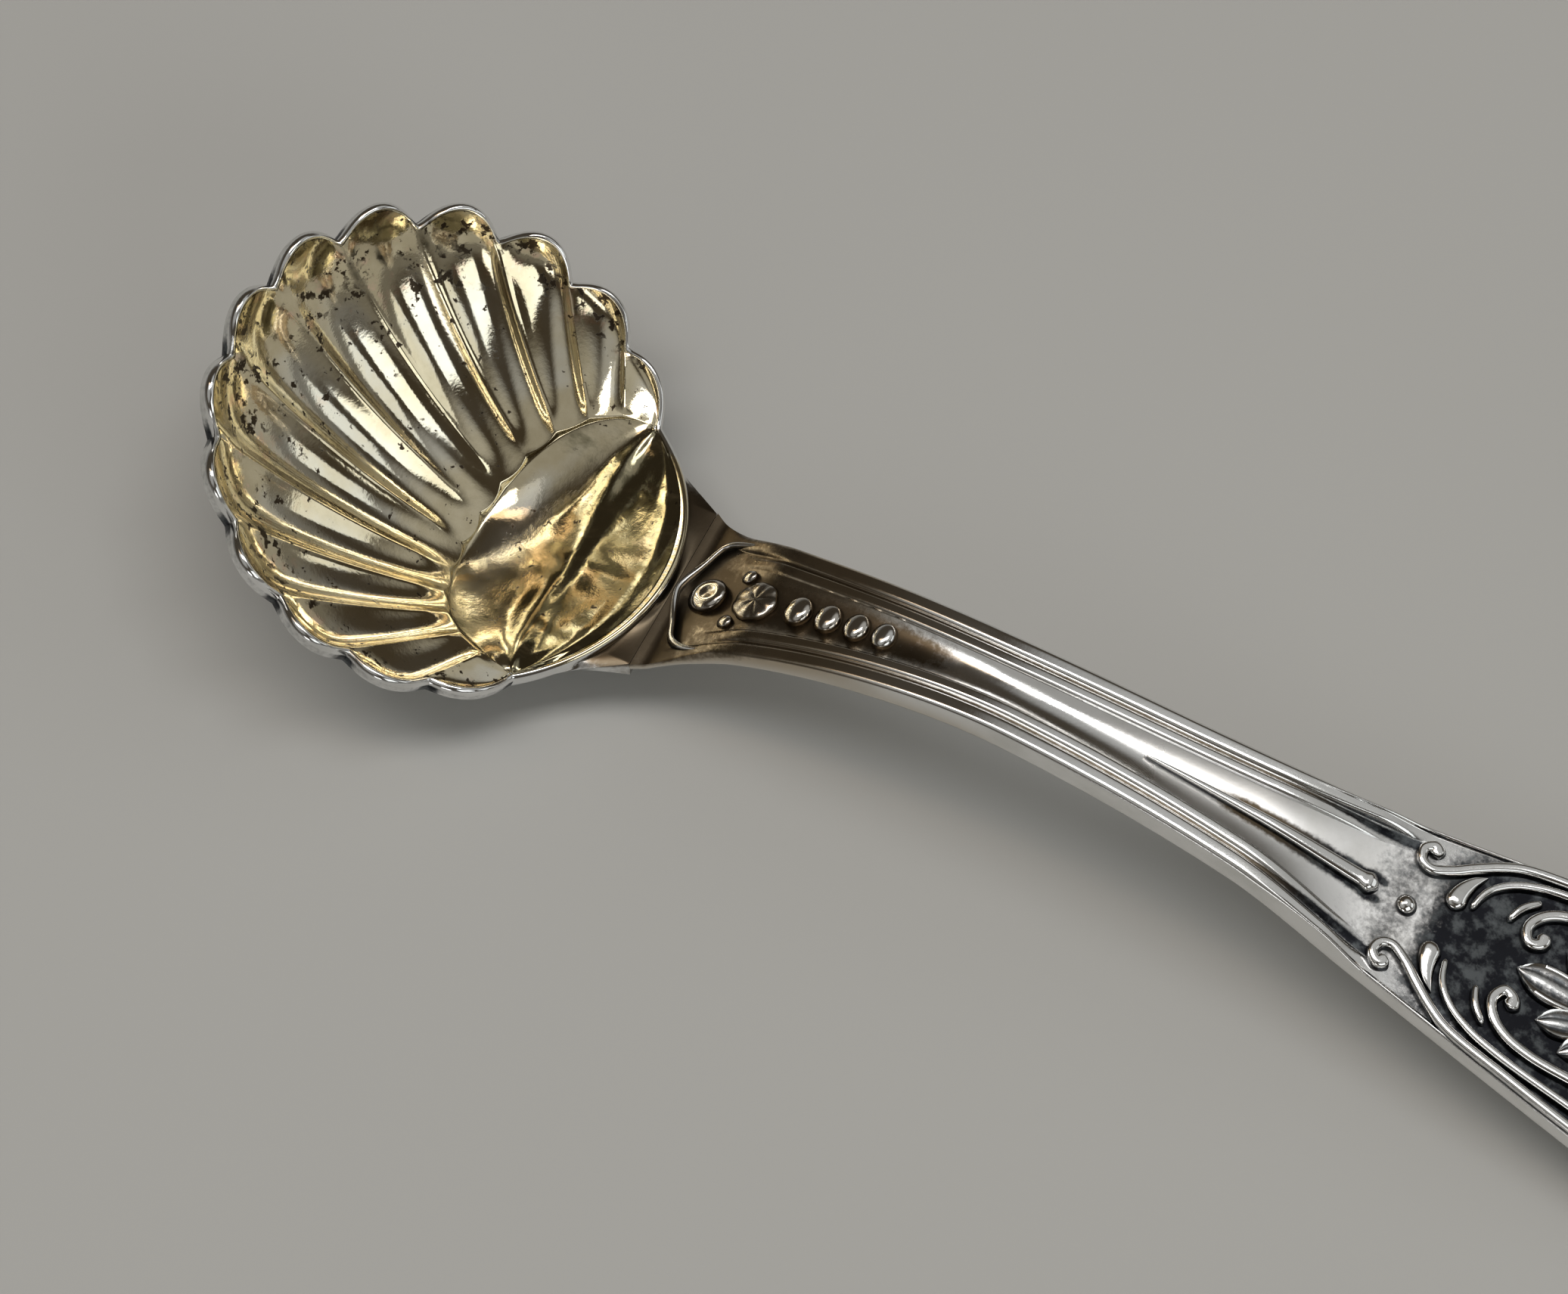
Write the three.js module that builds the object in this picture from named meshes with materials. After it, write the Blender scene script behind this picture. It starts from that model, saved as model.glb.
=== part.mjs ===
import * as THREE from 'three';
import { mergeVertices } from 'three/addons/utils/BufferGeometryUtils.js';

// Shell salt spoon. Millimetres, +X towards the tip of the handle, +Z up, resting on z = 0.

// Bowl, measured in the plane of its rim from the centre of the bowl
const BOWL_RADIUS = 11;
const FLUTES = 13;
const FLUTE_STEP = 21.3;
const SCALLOP = 0.85;
const SCALLOP_MEAN = 0.6;
const SCALLOP_LEFT = 0.5;
const SCALLOP_WANE = 4;
const SCALLOP_RISE = 1.3;
const SCALLOP_TURN = 14;
const RIM_WIDTH = 0.45;
const RIM_CREST = 0.12;
const RIM_DEPTH = 0.5;
const WALL = 0.35;
const BOWL_TILT = 24.6;
const BOWL_DEPTH = 5.2;
const HINGE_SETBACK = 3.4;
const HINGE_STEP = 0.3;
const HINGE_LOBE = 0.3;
const HINGE_FALL = 0.07;
const RIDGE_HEIGHT = 0.35;
const RIDGE_FOOT = 0.12;
const NECK_REACH = 10.55;
const NECK_RISE = 2.5;
const STUB_HALF_WIDTH = 3.5;
const STUB_LENGTH = 0.05;
const STUB_THICKNESS = 1.5;
const STUB_FILLET = 1.3;
const GILT_THICKNESS = 0.15;

// Depth of the flats worn under the bowl and under the tip
const REST_CUT = 0.35;

// Handle, measured along x from the joint at the neck
const HANDLE_LENGTH = 61.45;
const RISE_SHARE = 0.0732;
const BEND_SHARE = 0.171;
const WAIST_SHARE = 0.2685;
const FLARE_SHARE = 0.4378;
const SHOULDER_SHARE = 0.5395;
const ROSETTE_SHARE = 0.7364;
const WIDEST_SHARE = 0.8047;
const NECK_HALF_WIDTH = 3.6;
const RISE_HALF_WIDTH = 2.83;
const BEND_HALF_WIDTH = 2.34;
const WAIST_HALF_WIDTH = 2.17;
const FLARE_HALF_WIDTH = 2.62;
const SHOULDER_HALF_WIDTH = 3.55;
const ROSETTE_HALF_WIDTH = 5.7;
const WIDEST_HALF_WIDTH = 6.2;
const TIP_HALF_WIDTH = 1.2;
const RISE_HEIGHT = 7.13;
const BEND_HEIGHT = 9.2;
const ARCH_HEIGHT = 9.78;
const FLARE_HEIGHT = 8.55;
const SHOULDER_HEIGHT = 6.83;
const ROSETTE_HEIGHT = 4.3;
const TIP_REST = 4;
const SHANK_THICKNESS = 2.2;
const TIP_THICKNESS = 1.85;
const SINK = 0.42;
const OUTER_REED = 0.55;
const INNER_REED = 0.55;
const REED_GROOVE = 0.3;
const REED_START = 1.5;
const REED_FADE = 1;
const REED_SETBACK = 0.2;
const PANEL_LEAST = 0.4;

// Applied ornament, standing on the sunk ground of the handle
const SEAT = 0.02;
const MOTIF_GAP = 0.42;
const PEARL_GAP = 0.16;
const NECK_BAR_X = 0.2;
const NECK_BAR_DEPTH = 1.05;
const NECK_BAR_HALF_SPAN = 2.5;
const NECK_BAR_HALF_WIDTH = 0.16;
const NECK_PEARL_RADIUS = 0.85;
const NECK_PEARL_HEIGHT = 0.7;
const PALMETTE_RADIUS = 1;
const PALMETTE_HEIGHT = 0.45;
const SIDE_PEARL_RADIUS = 0.33;
const SIDE_PEARL_GAP = 0.12;
const SIDE_PEARL_ANGLE = THREE.MathUtils.degToRad(54);
const DROP_RADII = [0.62, 0.6, 0.57, 0.54];
const RIB_LENGTH = 10.8;
const RIB_HALF_WIDTH = 0.52;
const RIB_HEIGHT = 0.5;
const RIB_SETBACK = 0.4;
const RIB_PEARL_RADIUS = 0.45;
const RIB_PEARL_OFFSET = 0.45;
const FIELD_MARGIN = 0.9;
const OUTER_SCROLL_HALF_WIDTH = 0.26;
const INNER_SCROLL_HALF_WIDTH = 0.23;
const CURL_HALF_WIDTH = 0.28;
const HOOK_HALF_WIDTH = 0.2;
const SPRAY_HALF_WIDTH = 0.36;
const SCROLL_HEIGHT = 0.42;
const ROSETTE_RADIUS = 0.8;
const ROSETTE_DOME = 0.6;
const LEAF_GAP = 0.9;
const ROSETTE_LEAVES = [[0, 6.1, 0.6], [20, 4.8, 0.48], [38, 4, 0.4]];
const TIP_PEARL_RADIUS = 0.6;
const LOBE_GAP = 0.35;
const TIP_LOBES = [[0, 3.9, 0.45], [27, 3.6, 0.42], [54, 3, 0.38]];

const silver = new THREE.MeshStandardMaterial({ color: 0xcfcdc8, roughness: 0.25, metalness: 1 });
const darkSilver = new THREE.MeshStandardMaterial({ color: 0x8f8c86, roughness: 0.35, metalness: 1 });
const gilt = new THREE.MeshStandardMaterial({ color: 0xc9a95c, roughness: 0.22, metalness: 1 });

const HALF_FLUTES = FLUTES / 2;
const RIDGE_FULLNESS = 4 / (1 + RIDGE_FOOT) ** 2;
const STEP_ANGLE = THREE.MathUtils.degToRad(FLUTE_STEP);
const TILT = THREE.MathUtils.degToRad(BOWL_TILT);
const INNER_RADIUS = BOWL_RADIUS - RIM_WIDTH;
const lerp = THREE.MathUtils.lerp;

// Solid between an upper and a lower grid of points. Rows and columns of both match.
function slab(name, upper, lower, material, closeColumns = true) {
  const rows = upper.length;
  const columns = upper[0].length;
  const corners = [...upper.flat(), ...lower.flat()];
  const positions = new Float32Array(corners.flatMap((v) => [v.x, v.y, v.z]));
  const up = (i, j) => i * columns + j;
  const low = (i, j) => rows * columns + i * columns + j;
  const faces = [];
  const quad = (a, b, c, d) => faces.push(a, b, c, a, c, d);
  for (let i = 0; i + 1 < rows; i++) {
    for (let j = 0; j + 1 < columns; j++) {
      quad(up(i, j), up(i + 1, j), up(i + 1, j + 1), up(i, j + 1));
      quad(low(i, j), low(i, j + 1), low(i + 1, j + 1), low(i + 1, j));
    }
    if (closeColumns) {
      quad(up(i, 0), low(i, 0), low(i + 1, 0), up(i + 1, 0));
      quad(up(i, columns - 1), up(i + 1, columns - 1), low(i + 1, columns - 1), low(i, columns - 1));
    }
  }
  for (let j = 0; j + 1 < columns; j++) {
    quad(up(0, j), up(0, j + 1), low(0, j + 1), low(0, j));
    quad(up(rows - 1, j), low(rows - 1, j), low(rows - 1, j + 1), up(rows - 1, j + 1));
  }
  const grid = new THREE.BufferGeometry();
  grid.setAttribute('position', new THREE.BufferAttribute(positions, 3));
  grid.setIndex(faces);
  return solid(name, grid, material);
}

// Welds equal corners, drops faces without area, turns the faces outward.
function solid(name, grid, material) {
  const welded = mergeVertices(grid, 1e-4);
  const point = new THREE.Vector3();
  const at = (i) => point.fromBufferAttribute(welded.attributes.position, i).clone();
  const kept = [];
  let volume = 0;
  for (let k = 0; k < welded.index.count; k += 3) {
    const [a, b, c] = [0, 1, 2].map((n) => welded.index.getX(k + n));
    if (a === b || b === c || c === a) continue;
    kept.push([a, b, c]);
    volume += at(a).dot(at(b).cross(at(c)));
  }
  const outward = volume > 0 ? kept : kept.map(([a, b, c]) => [a, c, b]);
  welded.setIndex(outward.flat());
  welded.computeVertexNormals();
  const mesh = new THREE.Mesh(welded, material);
  mesh.name = name;
  return mesh;
}

// Smooth curve through [x, value] pairs.
function curveThrough(pairs) {
  const slope = pairs.map((pair, i) => {
    const before = pairs[Math.max(i - 1, 0)];
    const after = pairs[Math.min(i + 1, pairs.length - 1)];
    return (after[1] - before[1]) / (after[0] - before[0]);
  });
  return (x) => {
    let i = 0;
    while (i < pairs.length - 2 && x > pairs[i + 1][0]) i++;
    const span = pairs[i + 1][0] - pairs[i][0];
    const t = THREE.MathUtils.clamp((x - pairs[i][0]) / span, 0, 1);
    const rise = t * t * (3 - 2 * t);
    const bend = t * (1 - t) * span;
    return lerp(pairs[i][1], pairs[i + 1][1], rise)
      + bend * (slope[i] * (1 - t) - slope[i + 1] * t);
  };
}

// Bowl: u counts flutes from the axis, whole numbers are channels and halves are ridges.
const ridge = (u) => 4 * (u - Math.round(u)) ** 2;
const hingeAngle = (u) => (u / HALF_FLUTES) * Math.PI / 2;

// Radius of the scalloped edge. The scallops grow shallow where the edge meets the hinge.
function rimRadius(u) {
  const wane = THREE.MathUtils.smoothstep(Math.abs(u), SCALLOP_WANE, HALF_FLUTES);
  return INNER_RADIUS - SCALLOP * lerp(SCALLOP_MEAN, ridge(u), lerp(1, SCALLOP_LEFT, wane));
}

function rimPlan(u, out) {
  const r = rimRadius(u) + out;
  return [r * Math.cos(u * STEP_ANGLE), r * Math.sin(u * STEP_ANGLE)];
}

function hingePlan(u, out, lobe) {
  const [endP, endQ] = rimPlan(HALF_FLUTES, out);
  const s = hingeAngle(u);
  const p = -HINGE_SETBACK + (endP + HINGE_SETBACK) * (1 - Math.cos(s)) ** 1.6;
  return [p - lobe * (1 - ridge(u)) * Math.cos(s), endQ * Math.sin(s)];
}

function backPlan(u, out) {
  const w = u / HALF_FLUTES;
  const turn = (Math.PI - HALF_FLUTES * STEP_ANGLE) * w;
  const r = lerp(NECK_REACH, rimRadius(HALF_FLUTES), w * w) + out;
  return [-r * Math.cos(turn), r * Math.sin(turn)];
}

function toSpoon(p, q, h) {
  const x = -p * Math.cos(TILT) + h * Math.sin(TILT);
  const z = p * Math.sin(TILT) + h * Math.cos(TILT);
  return new THREE.Vector3(x, q, z);
}

// Row of the bowl: negative values run from the hinge to the back rim, positive ones to the front rim.
function bowlPoint(u, row, face) {
  const c = Math.max(Math.cos(hingeAngle(u)), 0);
  const t = Math.abs(row);
  const fall = row < 0 ? Math.min(1, t / HINGE_FALL) : 0;
  const hinge = hingePlan(u, face.out, face.lobe * (1 - fall));
  const edge = row < 0 ? backPlan(u, face.out) : rimPlan(u, face.out);
  const floor = -BOWL_DEPTH * c ** 1.7;
  const ribs = RIDGE_FULLNESS * RIDGE_HEIGHT * ridge(u) * Math.sqrt(c);
  const turnedUp = SCALLOP_RISE * (1 - ridge(u)) * Math.sqrt(c) * t ** SCALLOP_TURN;
  let h = floor * (1 - t * t) + ribs * (t + RIDGE_FOOT) * (1 - t) + turnedUp;
  if (row < 0) {
    const w = u / HALF_FLUTES;
    const back = NECK_RISE * (1 - w * w) ** 1.2;
    h = lerp(floor, back, t ** 1.6) - HINGE_STEP * c * (1 - t) * fall + ribs * RIDGE_FOOT * (1 - fall);
  }
  h += face.raise - face.drop * (1 - t) * c;
  return toSpoon(lerp(hinge[0], edge[0], t), lerp(hinge[1], edge[1], t), h);
}

const INSIDE = { out: 0, lobe: HINGE_LOBE, drop: 0, raise: 0 };
const OUTSIDE = { out: RIM_WIDTH, lobe: 0, drop: WALL, raise: -RIM_DEPTH };
const OUTER_EDGE = { ...OUTSIDE, raise: 0 };
const CREST = { out: RIM_WIDTH / 2, lobe: 0, drop: 0, raise: RIM_CREST };
const GILT_UNDER = { ...INSIDE, raise: SEAT };
const GILT_TOP = { ...INSIDE, raise: SEAT + GILT_THICKNESS };
const STUB_ROW = -0.95;
const BACK_ROWS = [STUB_ROW, -0.8, -0.6, -0.4, -0.22, -HINGE_FALL];
const FRONT_ROWS = [0, 0.12, 0.28, 0.44, 0.58, 0.72, 0.84, 0.92, 0.97];
const GILT_ROWS = [...BACK_ROWS, ...FRONT_ROWS];
const BOWL_ROWS = [-1, ...GILT_ROWS, 1];
const COLUMNS_PER_FLUTE = 4;
const columns = Array.from({ length: FLUTES * COLUMNS_PER_FLUTE + 1 },
  (_, j) => j / COLUMNS_PER_FLUTE - HALF_FLUTES);

const neckTop = bowlPoint(0, -1, OUTER_EDGE);
const JOINT_X = neckTop.x + STUB_LENGTH;

// The stub draws the back of the outer face out to the plane of the joint.
function drawnToStub(regular, drop) {
  const far = Math.abs(regular.y) - STUB_HALF_WIDTH;
  const hold = 1 - THREE.MathUtils.smoothstep(far, 0, STUB_FILLET);
  const pulled = new THREE.Vector3(JOINT_X, regular.y, neckTop.z - drop);
  return regular.lerp(pulled, hold);
}

function outerRow(row) {
  if (row === -1) {
    return columns.map((u) => drawnToStub(bowlPoint(u, -1, OUTSIDE), 0));
  }
  if (row === STUB_ROW) {
    return columns.map((u) => drawnToStub(bowlPoint(u, row, OUTSIDE), STUB_THICKNESS));
  }
  return columns.map((u) => bowlPoint(u, row, OUTSIDE));
}

const outer = BOWL_ROWS.map(outerRow);
const lowest = Math.min(...outer.flat().map((v) => v.z));
const TABLE = lowest + REST_CUT;
outer.flat().forEach((v) => {
  v.z = Math.max(v.z, TABLE);
});
const inner = BOWL_ROWS.map((row) => columns.map((u) => bowlPoint(u, row, INSIDE)));
const crestBack = columns.map((u) => bowlPoint(u, -1, CREST));
const crestFront = columns.map((u) => bowlPoint(u, 1, CREST));
const shellUpper = [crestBack, ...inner, crestFront];
const shellLower = [crestBack, ...outer, crestFront];
const bowlShell = slab('bowl_shell', shellUpper, shellLower, silver, false);

const giltColumns = columns.slice(1, -1);
const giltFace = (face) => GILT_ROWS.map((row) => giltColumns.map((u) => bowlPoint(u, row, face)));
const bowlGilding = slab('bowl_gilding', giltFace(GILT_TOP), giltFace(GILT_UNDER), gilt);

// Handle
const RISE_X = HANDLE_LENGTH * RISE_SHARE;
const BEND_X = HANDLE_LENGTH * BEND_SHARE;
const WAIST_X = HANDLE_LENGTH * WAIST_SHARE;
const FLARE_X = HANDLE_LENGTH * FLARE_SHARE;
const SHOULDER_X = HANDLE_LENGTH * SHOULDER_SHARE;
const ROSETTE_X = HANDLE_LENGTH * ROSETTE_SHARE;
const WIDEST_X = HANDLE_LENGTH * WIDEST_SHARE;
const TIP_X = HANDLE_LENGTH;
const WIDEST_TO_TIP = TIP_X - WIDEST_X;
const neckHeight = neckTop.z - TABLE;
const tipHeight = TIP_THICKNESS - REST_CUT;
const sideLine = curveThrough([
  [0, neckHeight],
  [RISE_X, RISE_HEIGHT],
  [BEND_X, BEND_HEIGHT],
  [WAIST_X, ARCH_HEIGHT],
  [FLARE_X, FLARE_HEIGHT],
  [SHOULDER_X, SHOULDER_HEIGHT],
  [ROSETTE_X, ROSETTE_HEIGHT],
  [TIP_X - TIP_REST, tipHeight],
  [TIP_X, tipHeight],
]);
const sideOfReeds = curveThrough([
  [0, NECK_HALF_WIDTH],
  [RISE_X, RISE_HALF_WIDTH],
  [BEND_X, BEND_HALF_WIDTH],
  [WAIST_X, WAIST_HALF_WIDTH],
  [FLARE_X, FLARE_HALF_WIDTH],
  [SHOULDER_X, SHOULDER_HALF_WIDTH],
  [ROSETTE_X, ROSETTE_HALF_WIDTH],
  [WIDEST_X, WIDEST_HALF_WIDTH],
]);
const thickness = curveThrough([
  [0, STUB_THICKNESS],
  [WAIST_X, SHANK_THICKNESS],
  [TIP_X - TIP_REST, TIP_THICKNESS],
  [TIP_X, TIP_THICKNESS],
]);
const ground = (x) => sideLine(x) - SINK;

// Outline of the handle: a curve up to the widest place, then half an oval.
function halfWidth(x) {
  const k = (x - WIDEST_X) / WIDEST_TO_TIP;
  if (k <= 0) return sideOfReeds(x);
  const oval = Math.max(1 - k * k, 0);
  return Math.sqrt(lerp(TIP_HALF_WIDTH ** 2, WIDEST_HALF_WIDTH ** 2, oval));
}

// Half of a cross-section from the axis out: distance from the axis and height over the ground.
function halfSection(x) {
  const w = halfWidth(x);
  const reedEnd = SHOULDER_X - REED_SETBACK;
  const begun = THREE.MathUtils.smoothstep(x, REED_START, REED_START + REED_FADE);
  const ended = THREE.MathUtils.smoothstep(x, reedEnd - REED_FADE, reedEnd);
  const reeds = SINK * begun * (1 - ended);
  const border = OUTER_REED + REED_GROOVE + INNER_REED;
  const fit = Math.min(1, w / (border + PANEL_LEAST));
  const steps = [[w - fit * border, 0]];
  const rounded = [[0.28, 0.95], [0.72, 0.95]];
  rounded.forEach(([k, lift]) => {
    steps.push([w - fit * (border - INNER_REED * k), reeds * lift]);
  });
  steps.push([w - fit * (OUTER_REED + REED_GROOVE), reeds * 0.1]);
  steps.push([w - fit * OUTER_REED, reeds * 0.1]);
  rounded.forEach(([k, lift]) => {
    steps.push([w - fit * OUTER_REED * (1 - k), reeds * lift]);
  });
  steps.push([w, reeds * 0.3]);
  return steps;
}

function handleRow(x, place) {
  const half = halfSection(x);
  const mirrored = half.map(([y, rise]) => [-y, rise]).reverse();
  return [...mirrored, [0, 0], ...half].map(([y, rise]) => place(x, y, rise));
}

// Stations lie evenly up to the widest place and close up round the tip.
const STATIONS = 32;
const TIP_STATIONS = 9;
const stations = [
  ...Array.from({ length: STATIONS }, (_, i) => WIDEST_X * i / STATIONS),
  ...Array.from({ length: TIP_STATIONS + 1 },
    (_, i) => WIDEST_X + WIDEST_TO_TIP * Math.sin(Math.PI * i / TIP_STATIONS / 2)),
];
const handleTop = (x, y, rise) => new THREE.Vector3(x, y, ground(x) + rise);
const handleUnder = (x, y) => {
  const round = 1 - 0.25 * (y / halfWidth(x)) ** 2;
  return new THREE.Vector3(x, y, Math.max(sideLine(x) - thickness(x) * round, 0));
};
const handleShank = slab('handle_shank', stations.map((x) => handleRow(x, handleTop)),
  stations.map((x) => handleRow(x, handleUnder)), darkSilver);

// Ornament: shapes drawn flat and laid on the ground.
const laid = (x, y, h) => new THREE.Vector3(x, y, ground(x) + SEAT + h);

// Round boss whose outline may be lobed.
function boss(name, x, y, radius, height, lobed = false) {
  const around = 14;
  const rings = [0, 0.45, 0.8, 1];
  const ring = (k, lift) => Array.from({ length: around + 1 }, (_, j) => {
    const a = 2 * Math.PI * (j % around) / around;
    const outline = lobed && j % 2 ? 0.82 * radius : radius;
    const r = outline * Math.cos(k * Math.PI / 2);
    const h = lift * (0.15 + 0.85 * Math.sin(k * Math.PI / 2));
    return laid(x + r * Math.cos(a), y + r * Math.sin(a), h);
  });
  return slab(name, rings.map((k) => ring(k, height)), rings.map((k) => ring(k, 0)), silver, false);
}

const ROUND = [[-1, 0.2], [-0.5, 0.9], [0.5, 0.9], [1, 0.2]];
const RIDGED = [[-1, 0.15], [0, 1], [1, 0.15]];

// Rounded wire along a path of [x, y] points. Its width follows a taper from 0 to 1 along the path.
function wire(name, path, halfWide, height, taper, stepsPerPoint, across = ROUND) {
  const flat = path.map(([x, y]) => new THREE.Vector3(x, y, 0));
  const curve = new THREE.CatmullRomCurve3(flat, false, 'centripetal');
  const count = (path.length - 1) * stepsPerPoint;
  const face = (lifted) => Array.from({ length: count + 1 }, (_, i) => {
    const centre = curve.getPoint(i / count);
    const along = curve.getTangent(i / count);
    const wide = halfWide * taper(i / count);
    const high = lifted * height * (0.4 + 0.6 * taper(i / count));
    return across.map(([k, lift]) => {
      const off = wide * k;
      return laid(centre.x - along.y * off, centre.y + along.x * off, high * lift);
    });
  });
  return slab(name, face(1), face(0), silver);
}

const even = () => 1;
const pointed = (t) => 0.08 + 0.92 * Math.sin(Math.PI * t) ** 0.8;
const hooked = (t) => 0.55 + 0.45 * Math.sin(Math.PI * t) ** 0.4;
const swelling = (t) => 0.1 + 0.9 * t ** 0.8 * Math.min(1, (1 - t) * 9 + 0.4);

const ornament = [];

const pointedArch = [-1, -0.6, -0.2, 0, 0.2, 0.6, 1].map((k) =>
  [NECK_BAR_X + NECK_BAR_DEPTH * Math.abs(k) ** 1.4, NECK_BAR_HALF_SPAN * k]);
ornament.push(wire('neck_bar', pointedArch, NECK_BAR_HALF_WIDTH, SCROLL_HEIGHT, even, 2));
const neckPearlX = NECK_BAR_X + NECK_BAR_HALF_WIDTH + MOTIF_GAP + NECK_PEARL_RADIUS;
ornament.push(boss('neck_pearl', neckPearlX, 0, NECK_PEARL_RADIUS, NECK_PEARL_HEIGHT));
const palmetteX = neckPearlX + NECK_PEARL_RADIUS + MOTIF_GAP + PALMETTE_RADIUS;
ornament.push(boss('neck_palmette', palmetteX, 0, PALMETTE_RADIUS, PALMETTE_HEIGHT, true));
let dropX = palmetteX + PALMETTE_RADIUS + MOTIF_GAP;
DROP_RADII.forEach((r, i) => {
  ornament.push(boss(`drop_pearl_${i + 1}`, dropX + r, 0, r, r * 0.95));
  dropX += 2 * r + PEARL_GAP;
});

const ribEnd = SHOULDER_X - RIB_SETBACK;
const ribPath = [[ribEnd - RIB_LENGTH, 0], [ribEnd - RIB_LENGTH / 2, 0], [ribEnd, 0]];
ornament.push(wire('centre_rib', ribPath, RIB_HALF_WIDTH, RIB_HEIGHT, swelling, 9));
const ribPearlX = SHOULDER_X + RIB_PEARL_OFFSET + RIB_PEARL_RADIUS;
ornament.push(boss('rib_pearl', ribPearlX, 0, RIB_PEARL_RADIUS, RIB_PEARL_RADIUS));

// Scrolls around the rosette. Each point gives its distance from the rosette as a share of the half length
// of the framed field, and its distance from the axis as a share of the half width of the handle there.
const FIELD = ROSETTE_X - SHOULDER_X - FIELD_MARGIN;
const inField = (k, m, side, end) => {
  const x = ROSETTE_X - end * k * FIELD;
  return [x, side * m * halfWidth(x)];
};
const frameHalf = [[0.972, 0.67], [1, 0.77], [1.033, 0.7], [1.02, 0.565], [0.979, 0.51], [0.908, 0.59],
  [0.841, 0.71], [0.757, 0.835], [0.67, 0.91], [0.4, 0.93], [0.12, 0.935]];
const innerFrameHalf = [[0.786, 0.3], [0.759, 0.54], [0.696, 0.695], [0.598, 0.785], [0.45, 0.815],
  [0.12, 0.8]];
const curlHalf = [[0.504, 0.4], [0.507, 0.29], [0.545, 0.26], [0.573, 0.385], [0.545, 0.525], [0.478, 0.62],
  [0.36, 0.65], [0.12, 0.6]];
const spray = [[0.848, 0.21], [0.846, 0.4], [0.823, 0.56], [0.78, 0.69]];
const hook = [[0.647, 0.36], [0.62, 0.53], [0.562, 0.66]];

// A scroll that runs on from the neck end of the field to its tip end.
const throughField = (half, side) => [
  ...half.map(([k, m]) => inField(k, m, side, 1)),
  ...half.map(([k, m]) => inField(k, m, side, -1)).reverse(),
];

const sidePearlReach = PALMETTE_RADIUS + SIDE_PEARL_GAP + SIDE_PEARL_RADIUS;
const sidePearlX = palmetteX - sidePearlReach * Math.cos(SIDE_PEARL_ANGLE);
const sidePearlY = sidePearlReach * Math.sin(SIDE_PEARL_ANGLE);
for (const [word, side] of [['left', 1], ['right', -1]]) {
  const scroll = (name, half, halfWide, taper, steps) =>
    wire(`${name}_${word}`, throughField(half, side), halfWide, SCROLL_HEIGHT, taper, steps);
  ornament.push(scroll('outer_scroll', frameHalf, OUTER_SCROLL_HALF_WIDTH, even, 3));
  ornament.push(scroll('inner_scroll', innerFrameHalf, INNER_SCROLL_HALF_WIDTH, hooked, 2));
  ornament.push(scroll('curl', curlHalf, CURL_HALF_WIDTH, even, 3));
  const pearlY = side * sidePearlY;
  ornament.push(boss(`side_pearl_${word}`, sidePearlX, pearlY, SIDE_PEARL_RADIUS, SIDE_PEARL_RADIUS));
  for (const [place, end] of [['neck', 1], ['tip', -1]]) {
    const sprayPath = spray.map(([k, m]) => inField(k, m, side, end));
    const hookPath = hook.map(([k, m]) => inField(k, m, side, end));
    const spot = `${place}_${word}`;
    ornament.push(wire(`spray_${spot}`, sprayPath, SPRAY_HALF_WIDTH, SCROLL_HEIGHT, pointed, 3, RIDGED));
    ornament.push(wire(`hook_${spot}`, hookPath, HOOK_HALF_WIDTH, SCROLL_HEIGHT, hooked, 4));
  }
}

// Fan of leaves on both sides of the axis: angle to the axis, reach of the leaf tip, half width.
function fan(name, x, from, leaves, direction) {
  leaves.forEach(([degrees, reach, wide], i) => {
    const sides = degrees === 0 ? [['', 1]] : [['_left', 1], ['_right', -1]];
    for (const [word, side] of sides) {
      const angle = THREE.MathUtils.degToRad(degrees);
      const along = direction * Math.cos(angle);
      const aside = side * Math.sin(angle);
      const path = [from, (from + reach) / 2, reach].map((r) => [x + r * along, r * aside]);
      ornament.push(wire(`${name}_${i + 1}${word}`, path, wide, SCROLL_HEIGHT, pointed, 5, RIDGED));
    }
  });
}

ornament.push(boss('rosette', ROSETTE_X, 0, ROSETTE_RADIUS, ROSETTE_DOME));
fan('neck_leaf', ROSETTE_X, ROSETTE_RADIUS + LEAF_GAP, ROSETTE_LEAVES, -1);
fan('tip_leaf', ROSETTE_X, ROSETTE_RADIUS + LEAF_GAP, ROSETTE_LEAVES, 1);
const tipPearlX = ROSETTE_X + FIELD;
ornament.push(boss('tip_pearl', tipPearlX, 0, TIP_PEARL_RADIUS, TIP_PEARL_RADIUS));
fan('tip_lobe', tipPearlX, TIP_PEARL_RADIUS + LOBE_GAP, TIP_LOBES, 1);

// One frame: the spoon stands on z = 0 with the middle of its length and width over the origin.
const bowlParts = [bowlShell, bowlGilding];
bowlParts.forEach((mesh) => mesh.geometry.translate(0, 0, -TABLE));
const handleParts = [handleShank, ...ornament];
handleParts.forEach((mesh) => mesh.geometry.translate(JOINT_X + SEAT, 0, 0));
const spoon = new THREE.Group();
spoon.add(...bowlParts, ...handleParts);
const middle = new THREE.Box3().setFromObject(spoon).getCenter(new THREE.Vector3());
spoon.children.forEach((mesh) => mesh.geometry.translate(-middle.x, 0, 0));

export default spoon;
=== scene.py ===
# Looks of a small silver salt spoon with a gold-washed shell bowl. Sizes in millimetres, meshes in metres.
import math

import bmesh
import bpy
import numpy as np
from mathutils import Matrix, Vector


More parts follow.
